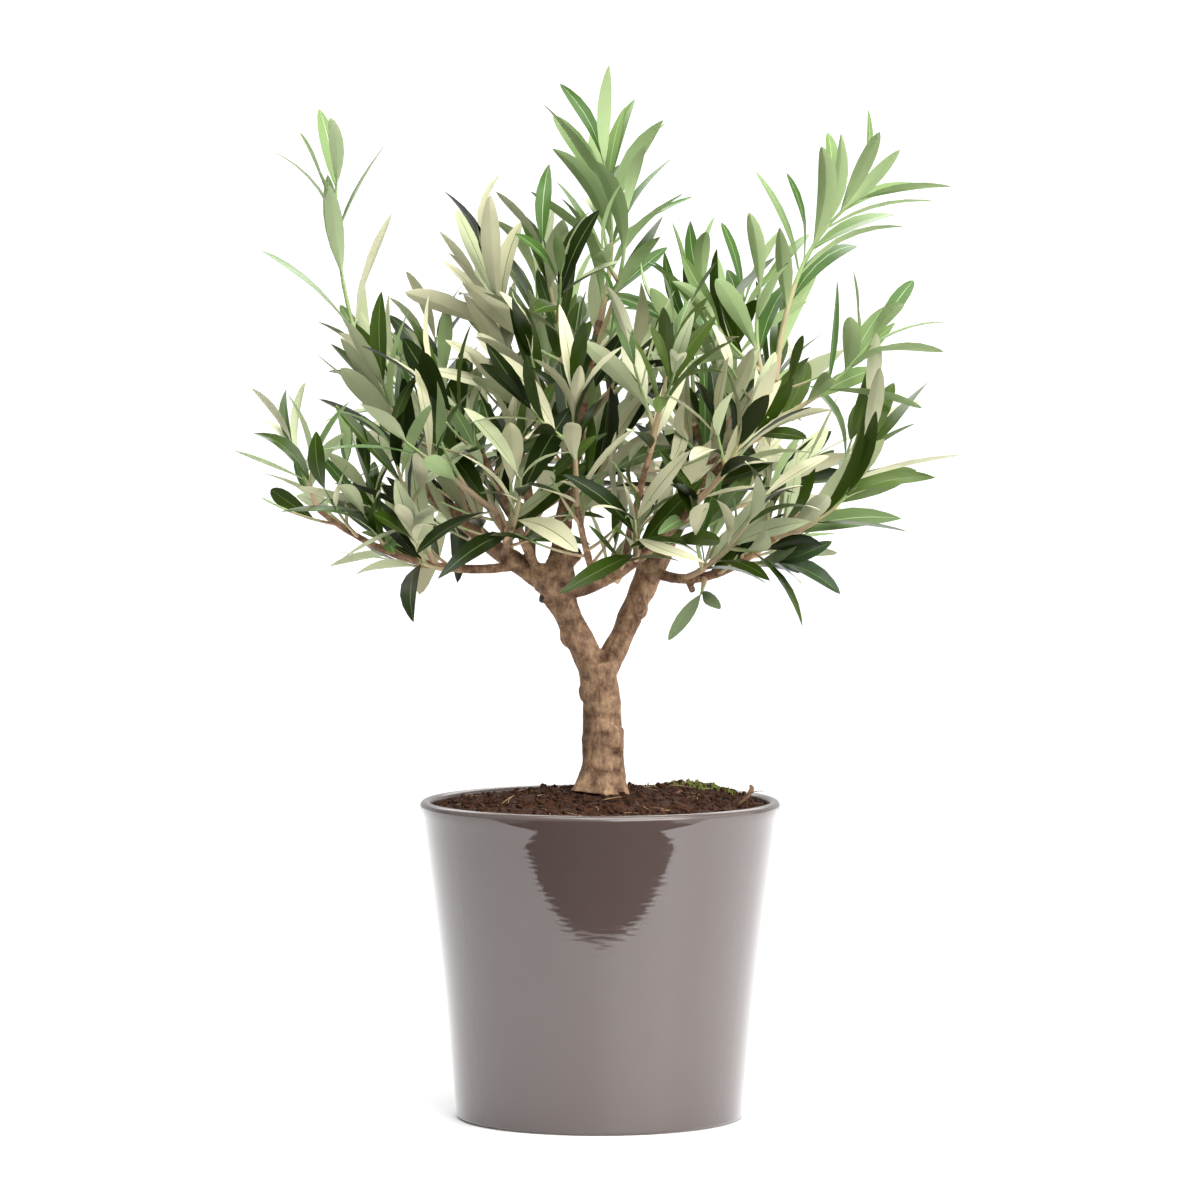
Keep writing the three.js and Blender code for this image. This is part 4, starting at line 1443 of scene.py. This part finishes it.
@dataclass
class Foliage:
    """All sprays of the crown, grown by one rule from the limbs.

    Attributes:
        length: The usual length of a leaf.
        step: How far the second leaf of a pair springs below the first.
        jitter: Degrees by which a leaf may open more or less than the rule says.
        turns: Degrees about its stem that a leaf tries in turn to find room.
        twig_radius: The radius of a solid twig at its foot.
        twig_tip: The same at its tip.
        gap: How far a spray keeps from the main shoots of the others.
        reach: How far its leaves and twigs keep from all that stands.
        finer_reach: The same for what is added after all the sprays.
        spur_spacing: How far spurs stand apart along a bough.
        spur_reach: How far past its bough's tip a spur's leaf may reach.
        rolled: The share of older leaves that show their undersides.
        last_pair: The share of a shoot at which its last pair stands.
        younger: The share of leaves younger than their spray, at a shoot's foot.
        older: The share of leaves older than their spray.
    """

    wood: Wood
    length: float = 54.0
    step: float = 1.6
    jitter: float = 8.0
    turns: tuple[int, ...] = (0, 24, -24, 48, -48)
    twig_radius: float = 1.55
    twig_tip: float = 1.1
    gap: float = 0.3
    reach: float = 0.45
    finer_reach: float = 0.1
    spur_spacing: float = 9.0
    spur_reach: float = 24.0
    rolled: float = 0.36
    last_pair: float = 0.985
    younger: float = 0.14
    older: float = 0.16
    sprays: list[Spray] = field(default_factory=list)
    taken: Room = field(default_factory=Room)

    @staticmethod
    def steps(arc: Arc) -> int:
        """Returns the straight steps of a solid shoot."""
        return max(2, math.floor(arc.length / 40 + 0.5))

    def leaves_on(
        self,
        arc: Arc,
        pairs: int,
        bare: float,
        turn: float,
        draw: Draw,
        leaf: float,
        spread: float = 46.0,
        close: float = 18.0,
    ) -> list[LeafAt]:
        """Works out opposite pairs of leaves that close towards the tip.

        Args:
            arc: The shoot.
            pairs: How many pairs it has.
            bare: Its bare share below the first pair.
            turn: Degrees of the first pair about it.
            draw: The stream of numbers.
            leaf: How long its leaves are beside the usual.
            spread: Degrees between stem and leaf at its foot.
            close: The same at its tip.

        Returns:
            For each leaf, a function of the turn that it still takes to find room.
        """
        found: list[LeafAt] = []
        for pair in range(pairs):
            closing = pair / max(1, pairs - 1)
            share = 0.98 if pairs == 1 else mix(bare, self.last_pair, closing**0.9)
            for half in (0, 1):
                angle = math.radians(turn + 90 * pair + 180 * half + (draw() - 0.5) * 30)
                stray = (draw() - 0.5) * 2 * self.jitter
                opening = math.radians(mix(spread, close, closing) + stray)
                length = self.length * leaf * mix(1, 0.84, closing**3) * (0.88 + 0.24 * draw())
                lift = 0.3 + 0.5 * draw()

                def leaf_at(
                    shift: float,
                    place: float = share - half * self.step / arc.length,
                    angle: float = angle,
                    opening: float = opening,
                    length: float = length,
                    lift: float = lift,
                ) -> Leaf:
                    """Returns the leaf, turned about its stem by shift degrees."""
                    stem = arc.tangent(place)
                    off = arc.around(place, angle + math.radians(shift))
                    along = stem * math.cos(opening) + off * math.sin(opening)
                    face = stem * math.sin(opening) - off * math.cos(opening)
                    face.z += lift
                    face = (face - along * face.dot(along)).normalized()
                    return Leaf(arc.point(place), along, face, length)

                found.append(leaf_at)
        return found

    def twigs_on(self, arc: Arc, mass: Mass, draw: Draw) -> list[tuple[Arc, float]]:
        """Works out the side twigs of a shoot and their places, low down and turning up."""
        found = []
        for index in range(mass.twigs):
            share = mix(0.12, 0.62, (index + 0.3 + 0.4 * draw()) / mass.twigs)
            angle = math.radians(mass.turn + 45 + GOLDEN_ANGLE * index + 40 * draw())
            opening = math.radians(46 + 10 * (draw() - 0.5))
            length = min(max(arc.length * 0.5 * (1.1 - share), 32), 70)
            found.append((self.fork(arc, share, angle, opening, length), share))
        return found

    @staticmethod
    def fork(arc: Arc, share: float, angle: float, opening: float, length: float) -> Arc:
        """Returns a side twig's centreline.

        Args:
            arc: The shoot that carries it.
            share: Its place on that shoot.
            angle: Radians about the shoot.
            opening: Radians between shoot and twig.
            length: The twig's length.

        Returns:
            The twig's arc, which sags a little and turns up.
        """
        point = arc.point(share)
        tip = (
            point
            + arc.tangent(share) * (length * math.cos(opening))
            + arc.around(share, angle) * (length * math.sin(opening))
        )
        tip.z += 0.12 * length
        return Arc(point, tip, Vector((0, 0, -0.05 * length)))

    def settle(self, leaves: list[Leaf]) -> None:
        """Marks the space of leaves as taken for all that grows later."""
        for leaf in leaves:
            self.taken.take(*leaf.diamond(True, 0))

    def add_leaf(
        self, spray: Spray, leaf_at: LeafAt, swell: float, tone: Tone, curl: random.Random
    ) -> None:
        """Adds a leaf to a spray in the first turn that has room, or leaves it out.

        Args:
            spray: The spray that gets it.
            leaf_at: The leaf for each turn about its stem.
            swell: How much room it keeps about itself.
            tone: Its tone.
            curl: Draws how it curls.
        """
        for shift in self.turns:
            leaf = leaf_at(shift)
            if not spray.blades.free(*leaf.diamond(True, 0)):
                continue
            if not self.taken.free(*leaf.diamond(False, swell)):
                continue
            spray.blades.take(*leaf.diamond(True, 0))
            leaf.width = curl.uniform(0.14, 0.2) if tone.young else curl.uniform(0.16, 0.24)
            leaf.width *= 1.25 if leaf.length < 38 else 1.0
            leaf.point = curl.uniform(0.62, 1.0)
            leaf.arch = 0.065 + curl.gauss(0, 0.035)
            leaf.twist = math.radians(curl.gauss(0, 30))
            leaf.sickle = curl.gauss(0, 0.018)
            leaf.fold = curl.uniform(-0.05, 0.42)
            leaf.tone = tone
            leaf.rolled = curl.random() < self.rolled and not tone.young
            spray.leaves.append(leaf)
            return

    def add_leaves(
        self, spray: Spray, found: list[LeafAt], swell: float, curl: random.Random, spare: int = 0
    ) -> None:
        """Adds leaves in turn, each in a tone of its own.

        Args:
            spray: The spray that gets them.
            found: The leaves from the shoot's foot to its tip.
            swell: How much room each keeps about itself.
            curl: Draws tones and curls.
            spare: How many at the tip are left out.
        """
        for index, leaf_at in enumerate(found[: len(found) - spare]):
            tone = self.tone_for(spray.mass, index / len(found), curl)
            self.add_leaf(spray, leaf_at, swell, tone, curl)

    def tone_for(self, mass: Mass, share: float, curl: random.Random) -> Tone:
        """Returns a leaf's tone: its spray's own, or now and then one older or younger."""
        pick = curl.random()
        if pick < self.younger + 0.3 * share**2:
            return mass.tone.lighter
        return mass.tone.darker if pick > 1 - self.older else mass.tone

    def grow_spray(self, mass: Mass, arc: Arc, thick: float, draw: Draw, seed: int) -> Spray:
        """Grows one spray: side twigs that have room, then leaves on the shoot and the twigs.

        Args:
            mass: The spray's rule.
            arc: Its main shoot.
            thick: That shoot's radius where it starts.
            draw: The stream of numbers of the solids' rule.
            seed: Where the stream of curls starts.

        Returns:
            The spray.
        """
        curl = random.Random(seed)
        spray = Spray(mass)
        spray.shoots.append(Shoot(arc, thick, 0.75, 1 if mass.tone.young else 0))
        spray.blades.take(*self.solid_twig(arc, thick, 0))
        kept = []
        for twig, share in self.twigs_on(arc, mass, draw):
            if self.taken.free(*self.solid_twig(twig, self.twig_radius, self.reach)):
                kept.append(twig)
                spray.shoots.append(Shoot(twig, self.twig_radius * (1 - 0.25 * share), 0.6, 1))
                spray.blades.take(*self.solid_twig(twig, self.twig_radius, 0))
        rule = (mass.pairs, mass.bare, mass.turn, draw, mass.leaf, mass.spread, mass.close)
        self.add_leaves(spray, self.leaves_on(arc, *rule), self.reach, curl)
        for twig in kept:
            side = self.leaves_on(twig, 3, 0.4, 90 * draw(), draw, 0.92 * mass.leaf)
            self.add_leaves(spray, side, self.reach, curl)
        return spray

    def solid_twig(self, arc: Arc, thick: float, swell: float) -> Form:
        """Returns a three-sided twig for the search for room."""

        def radius_at(share: float, _angle: float) -> float:
            """Returns the twig's radius with the room it keeps about itself."""
            return mix(thick, self.twig_tip, share) + swell

        return rod_shape(arc, radius_at, 3, self.steps(arc))

    def mark_wood(self) -> None:
        """Marks the space of trunk and limbs as taken."""
        self.taken.take(*rod_shape(self.wood.arcs["trunk"], self.wood.trunk_radius, 16, 7))
        for limb in LIMBS:

            def radius_at(share: float, _angle: float, limb: Limb = limb) -> float:
                """Returns the smooth limb's radius."""
                return limb.radius_at(share)

            arc = self.wood.arcs[limb.name]
            steps = max(3, math.floor(arc.length / 24 + 0.5))
            self.taken.take(*rod_shape(arc, radius_at, 10 if limb.stout else 6, steps))

    def main_shoots(self) -> dict[str, tuple[Arc, float]]:
        """Returns the main shoot of each mass and its radius where it starts."""
        found = {}
        for mass in MASSES:
            start = self.wood.arcs[mass.on].point(mass.at)
            thick = min(self.twig_radius * 1.25, LIMB_NAMED[mass.on].radius[1] * 1.1)
            found[mass.name] = (Arc(start, Vector(mass.tip), Vector(mass.bow)), thick)
        return found

    def grow(self) -> None:
        """Grows all sprays in order, carries each on to finer twigs, then adds the spurs.

        The first stream of numbers is the solids' own, so that both crowns grow alike.
        """
        self.mark_wood()
        shoots = self.main_shoots()
        for index, mass in enumerate(MASSES):
            kept, self.taken = self.taken, self.taken.copy()
            for name, shoot in shoots.items():
                if name != mass.name:
                    self.taken.take(*self.solid_twig(*shoot, self.gap))
            draw = seeded(101 + 7 * index)
            spray = self.grow_spray(mass, *shoots[mass.name], draw, 900 + index)
            self.taken = kept
            self.settle(spray.leaves)
            for shoot in spray.shoots:
                self.taken.take(*self.solid_twig(shoot.arc, shoot.thick, 0))
            self.sprays.append(spray)
        for index, spray in enumerate(self.sprays):
            self.refine(spray, seeded(5003 + 13 * index), random.Random(1700 + index))
        for index, limb in enumerate(LIMBS[2:]):
            tone = (Tone.DEEP, Tone.MID, Tone.GREY)[index % 3]
            self.sprays.append(self.spurs(limb, tone, 8101 + 17 * index))
        total = sum(len(spray.leaves) for spray in self.sprays)
        log.info("crown: %d sprays, %d leaves", len(self.sprays), total)

    def refine(self, spray: Spray, draw: Draw, curl: random.Random) -> None:
        """Adds what the solids leave out: in-between pairs, tip buds and finer twigs.

        Args:
            spray: The spray that is carried on.
            draw: A stream of numbers of its own.
            curl: Draws curls and tones.
        """
        mass = spray.mass
        before = len(spray.leaves)
        main = spray.shoots[0].arc
        if mass.pairs > 2:
            step = (self.last_pair - mass.bare) / (mass.pairs - 1) / 2
            turn = mass.turn + 45
            rule = (mass.pairs, mass.bare + step, turn, draw, 0.85 * mass.leaf, mass.spread)
            between = self.leaves_on(main, *rule)
            self.add_leaves(spray, between, self.finer_reach, curl, spare=2)
        for index in range(mass.finer):
            share = mix(0.12, 0.8, (index + draw()) / mass.finer)
            angle = math.tau * draw()
            length = 24 + 18 * draw()
            twig = self.fork(main, share, angle, math.radians(38 + 14 * draw()), length)
            if not self.taken.free(*self.solid_twig(twig, 0.9, self.finer_reach)):
                continue
            spray.shoots.append(Shoot(twig, 0.95, 0.5, 1))
            tuft = self.leaves_on(twig, 3, 0.3, 90 * draw(), draw, 0.74 * mass.leaf, 50)
            self.add_leaves(spray, tuft, self.finer_reach, curl)
        for shoot in spray.shoots:
            for leaf_at in self.leaves_on(shoot.arc, 1, 1, 360 * draw(), draw, 0.34, 16):
                self.add_leaf(spray, leaf_at, 0.0, mass.tone.lighter, curl)
        self.settle(spray.leaves[before:])

    def spurs(self, limb: Limb, tone: Tone, seed: int) -> Spray:
        """Grows short leafy spurs along a bough, by the rule of the finer twigs.

        Args:
            limb: The bough.
            tone: The tone of its leaves.
            seed: Where the streams of numbers start.

        Returns:
            The bough's spurs as one spray.
        """
        draw, curl = seeded(seed), random.Random(seed)
        arc = self.wood.arcs[limb.name]
        name = f"{limb.name}_spurs"
        spray = Spray(Mass(name, limb.name, 0, limb.tip, limb.bow, 0, 0, 0, 0, tone))
        reach = Vector(limb.tip).xy.length + self.spur_reach
        count = round(0.75 * arc.length / self.spur_spacing)
        for index in range(count):
            share = mix(0.28, 0.92, (index + draw()) / count)
            angle = math.radians(GOLDEN_ANGLE * index + 60 * draw())
            twig = self.fork(arc, share, angle, math.radians(48 + 16 * draw()), 24 + 18 * draw())
            if twig.tip.z < twig.base.z + 8:
                twig = Arc(twig.base, twig.tip + Vector((0, 0, 22)), Vector((0, 0, -2)))
            spray.shoots.append(Shoot(twig, 1.0, 0.5, 0))
            pairs = self.leaves_on(twig, 3, 0.3, 90 * draw(), draw, 0.76, 44)
            for order, leaf_at in enumerate(pairs):
                leaf = leaf_at(0)
                end = leaf.root + leaf.along * leaf.length
                if leaf.along.z > -0.1 and end.xy.length < reach:
                    tone = self.tone_for(spray.mass, order / len(pairs), curl)
                    self.add_leaf(spray, leaf_at, self.finer_reach, tone, curl)
        self.settle(spray.leaves)
        return spray

    def leaf_materials(self) -> list[bpy.types.Material]:
        """Returns upper face and underside of each tone, then old and young midribs."""
        made = []
        for tone in Tone:
            (upper, under), name = tone.value, tone.name.lower()
            made += [
                PlainMatter(f"{name}_waxy_leaf_face", upper, 0.36, wax=0.08, shine=0.16),
                PlainMatter(f"{name}_felted_underside", under, 0.8, shine=0.2),
            ]
        made.append(PlainMatter("green_midrib", 0x5E7038, 0.6))
        made.append(PlainMatter("pale_midrib", 0x9AB07E, 0.6))
        return [matter.material() for matter in made]

    def leaf_piece(
        self, name: str, sprays: list[Spray], shape: LeafShape, materials: list[bpy.types.Material]
    ) -> bpy.types.Object:
        """Joins the leaves of some sprays into one piece.

        Args:
            name: The piece's name.
            sprays: Its sprays.
            shape: The leaf that each copies.
            materials: The slots of all tones.

        Returns:
            The leaves' piece.
        """
        form = bmesh.new()
        for spray in sprays:
            tuft = bmesh.new()
            for leaf in spray.leaves:
                first_vertex, first_face = len(tuft.verts), len(tuft.faces)
                tuft.from_mesh(shape.mesh)
                tuft.verts.ensure_lookup_table()
                tuft.faces.ensure_lookup_table()
                for vertex, place in zip(tuft.verts[first_vertex:], shape.placed(leaf)):
                    vertex.co = place
                upper, under = leaf.tone.slots
                if leaf.rolled:
                    upper, under = under, upper
                slots = (upper, under, -1 if leaf.tone.young else -2)
                for face in tuft.faces[first_face:]:
                    face.material_index = slots[face.material_index] % len(materials)
            pour(form, tuft)
        to_part_frame(form, SOIL_HEIGHT)
        piece = finished(form, name, materials, sharp=55, outward=False)
        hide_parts(*(spray.mass.name for spray in sprays if spray.mass.pairs))
        return piece

    def twig_piece(self) -> bpy.types.Object:
        """Joins all leafy shoots into one piece: tan old wood, olive middle and green tips.

        Returns:
            The twigs' piece.
        """
        form = bmesh.new()
        for spray in self.sprays:
            for number, shoot in enumerate(spray.shoots):

                def radius_at(share: float, _angle: float, shoot: Shoot = shoot) -> float:
                    """Returns the twig's radius with its slightly swollen nodes."""
                    off = share * shoot.arc.length % NODE_SPACING - NODE_SPACING / 2
                    node = 0.16 * math.exp(-((off / 1.1) ** 2))
                    return mix(shoot.thick, shoot.thin, share**0.8) * (1 + node)

                arc = shoot.arc
                rod = arc_rod(arc, radius_at, 6, max(6, round(arc.length / 3.2)))
                base, length = arc.base, (arc.tip - arc.base).length
                for face in rod.faces:
                    share = (face.calc_center_median() - base).length / length
                    age = share + 0.35 * shoot.green + (0.25 if number else 0)
                    face.material_index = sum(age >= limit for limit in AGE_LIMITS)
                pour(form, rod)
        to_part_frame(form, SOIL_HEIGHT)
        materials = (
            PlainMatter("tan_twig_bark", 0xBA9F80, 0.75).material(),
            PlainMatter("olive_twig_skin", 0xB0A67E, 0.65).material(),
            PlainMatter("green_shoot_skin", 0x93A86E, 0.6).material(),
        )
        piece = finished(form, "leafy_twigs", materials, sharp=60, outward=False)
        return piece

    @staticmethod
    def stem_of(mass: Mass) -> str:
        """Returns the name of the main limb that a mass descends from."""
        name = mass.on
        while name not in MAIN_LIMBS:
            name = LIMB_NAMED[name].on
        return name

    def build(self) -> list[bpy.types.Object]:
        """Grows the crown and joins it, leaves by main limb and twigs by themselves.

        Returns:
            The pieces.
        """
        self.grow()
        shape = LeafShape()
        materials = self.leaf_materials()
        groups: dict[str, list[Spray]] = {}
        for spray in self.sprays:
            groups.setdefault(self.stem_of(spray.mass), []).append(spray)
        pieces = [
            self.leaf_piece(f"leaves_of_{name}", sprays, shape, materials)
            for name, sprays in groups.items()
        ]
        bpy.data.meshes.remove(shape.mesh)
        return [*pieces, self.twig_piece()]


# ---------------------------------------------------------------- studio


@dataclass
class Studio:
    """White table that ends before the camera, soft lights all round and the camera itself."""

    distance: float = 3.3
    eye: float = 0.47
    pitch: float = 3.4
    lens: float = 188.1
    table_front: float = 0.37
    table_back: float = 1.5
    table_side: float = 1.3

    def table(self) -> None:
        """Lays the white table, whose front edge shows in the glaze."""
        form = bmesh.new()
        bmesh.ops.create_grid(form, x_segments=1, y_segments=1, size=1)
        for vertex in form.verts:
            vertex.co.x *= self.table_side
            vertex.co.y = self.table_back if vertex.co.y > 0 else -self.table_front
        mesh = as_mesh(form, "table")
        inputs = {"Base Color": linear(0xF4F4F4), "Roughness": 0.5}
        mesh.materials.append(Finish("white_laminate_table", inputs).material)
        table = put_up("white_table", mesh)
        table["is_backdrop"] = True

    @staticmethod
    def panel(name: str, place: Place, size: tuple[float, float], power: float) -> None:
        """Hangs one soft light panel that faces the middle of the plant.

        Args:
            name: The light's name.
            place: Its centre in metres.
            size: Its width and height in metres.
            power: Its power in watts.
        """
        light = bpy.data.lights.new(name, "AREA")
        light.shape = "RECTANGLE"
        light.size, light.size_y = size
        light.energy = power
        lamp = put_up(name, light)
        lamp.location = place
        way = Vector((0, 0, 0.25)) - Vector(place)
        lamp.rotation_euler = way.to_track_quat("-Z", "Y").to_euler()
        lamp.visible_camera = False

    def lights(self) -> None:
        """Hangs lights overhead, behind, at both sides and in front on the right."""
        self.panel("overhead_light", (0.25, -0.45, 1.9), (1.8, 1.6), 62)
        self.panel("back_light", (0.0, 1.7, 1.7), (3.2, 1.2), 42)
        self.panel("left_light", (-1.35, -0.25, 0.45), (1.9, 1.3), 3)
        self.panel("right_light", (1.35, -0.25, 0.45), (1.9, 1.3), 9)
        self.panel("front_light", (1.2, -1.9, 1.2), (2.2, 1.2), 64)

    def world(self) -> None:
        """Surrounds the plant with white for the camera and a dim room for reflections."""
        world = bpy.data.worlds.new("studio")
        bpy.context.scene.world = world
        world.use_nodes = True
        nodes = Nodes(world.node_tree)
        way = add_node(nodes.tree, "TexCoord", {}).outputs["Generated"]
        parts = add_node(nodes.tree, "SeparateXYZ", {"Vector": way}).outputs
        above = nodes.ramp(parts["Z"], (-0.02, 0.3), (0.03, 0.28), "SMOOTHSTEP")
        behind = nodes.ramp(parts["Y"], (0.4, 0.8), (0.0, 0.8), "SMOOTHSTEP")
        glow = {"Color": WHITE, "Strength": nodes.larger(above, behind)}
        room = add_node(nodes.tree, "Background", glow).outputs[0]
        white = add_node(nodes.tree, "Background", {"Color": WHITE, "Strength": 1.3}).outputs[0]
        seen = add_node(nodes.tree, "LightPath", {}).outputs["Is Camera Ray"]
        shown = add_node(nodes.tree, "MixShader", {0: seen, 1: room, 2: white}).outputs[0]
        add_node(nodes.tree, "OutputWorld", {"Surface": shown})

    def camera(self) -> None:
        """Sets the camera level with the crown, looking slightly down."""
        eye = bpy.data.cameras.new("camera")
        eye.lens = self.lens
        eye.sensor_width = 36.0
        eye.clip_end = 50.0
        camera = put_up("camera", eye)
        camera.location = (0.0, -self.distance, self.eye)
        camera.rotation_euler = (math.radians(90 - self.pitch), 0.0, 0.0)
        bpy.context.scene.camera = camera

    def build(self) -> None:
        """Sets up table, lights, world, camera and a plain view transform."""
        self.camera()
        self.table()
        self.lights()
        self.world()
        bpy.context.scene.view_settings.view_transform = "Standard"


# ---------------------------------------------------------------- assembly


def corners() -> list[list[float]]:
    """Returns the lowest and highest corner of all that is shown, as plain lists."""
    low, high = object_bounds()
    return [[float(value) for value in low], [float(value) for value in high]]


def main() -> None:
    """Builds the potted tree piece by piece."""
    logging.basicConfig(level=logging.INFO, format="%(message)s")
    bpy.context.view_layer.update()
    Studio().build()
    pot = Pot()
    pot.build()
    Soil(pot).build()
    wood = Wood()
    wood.grow()
    wood.build()
    Foliage(wood).build()
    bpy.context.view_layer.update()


if __name__ == "__main__":
    main()
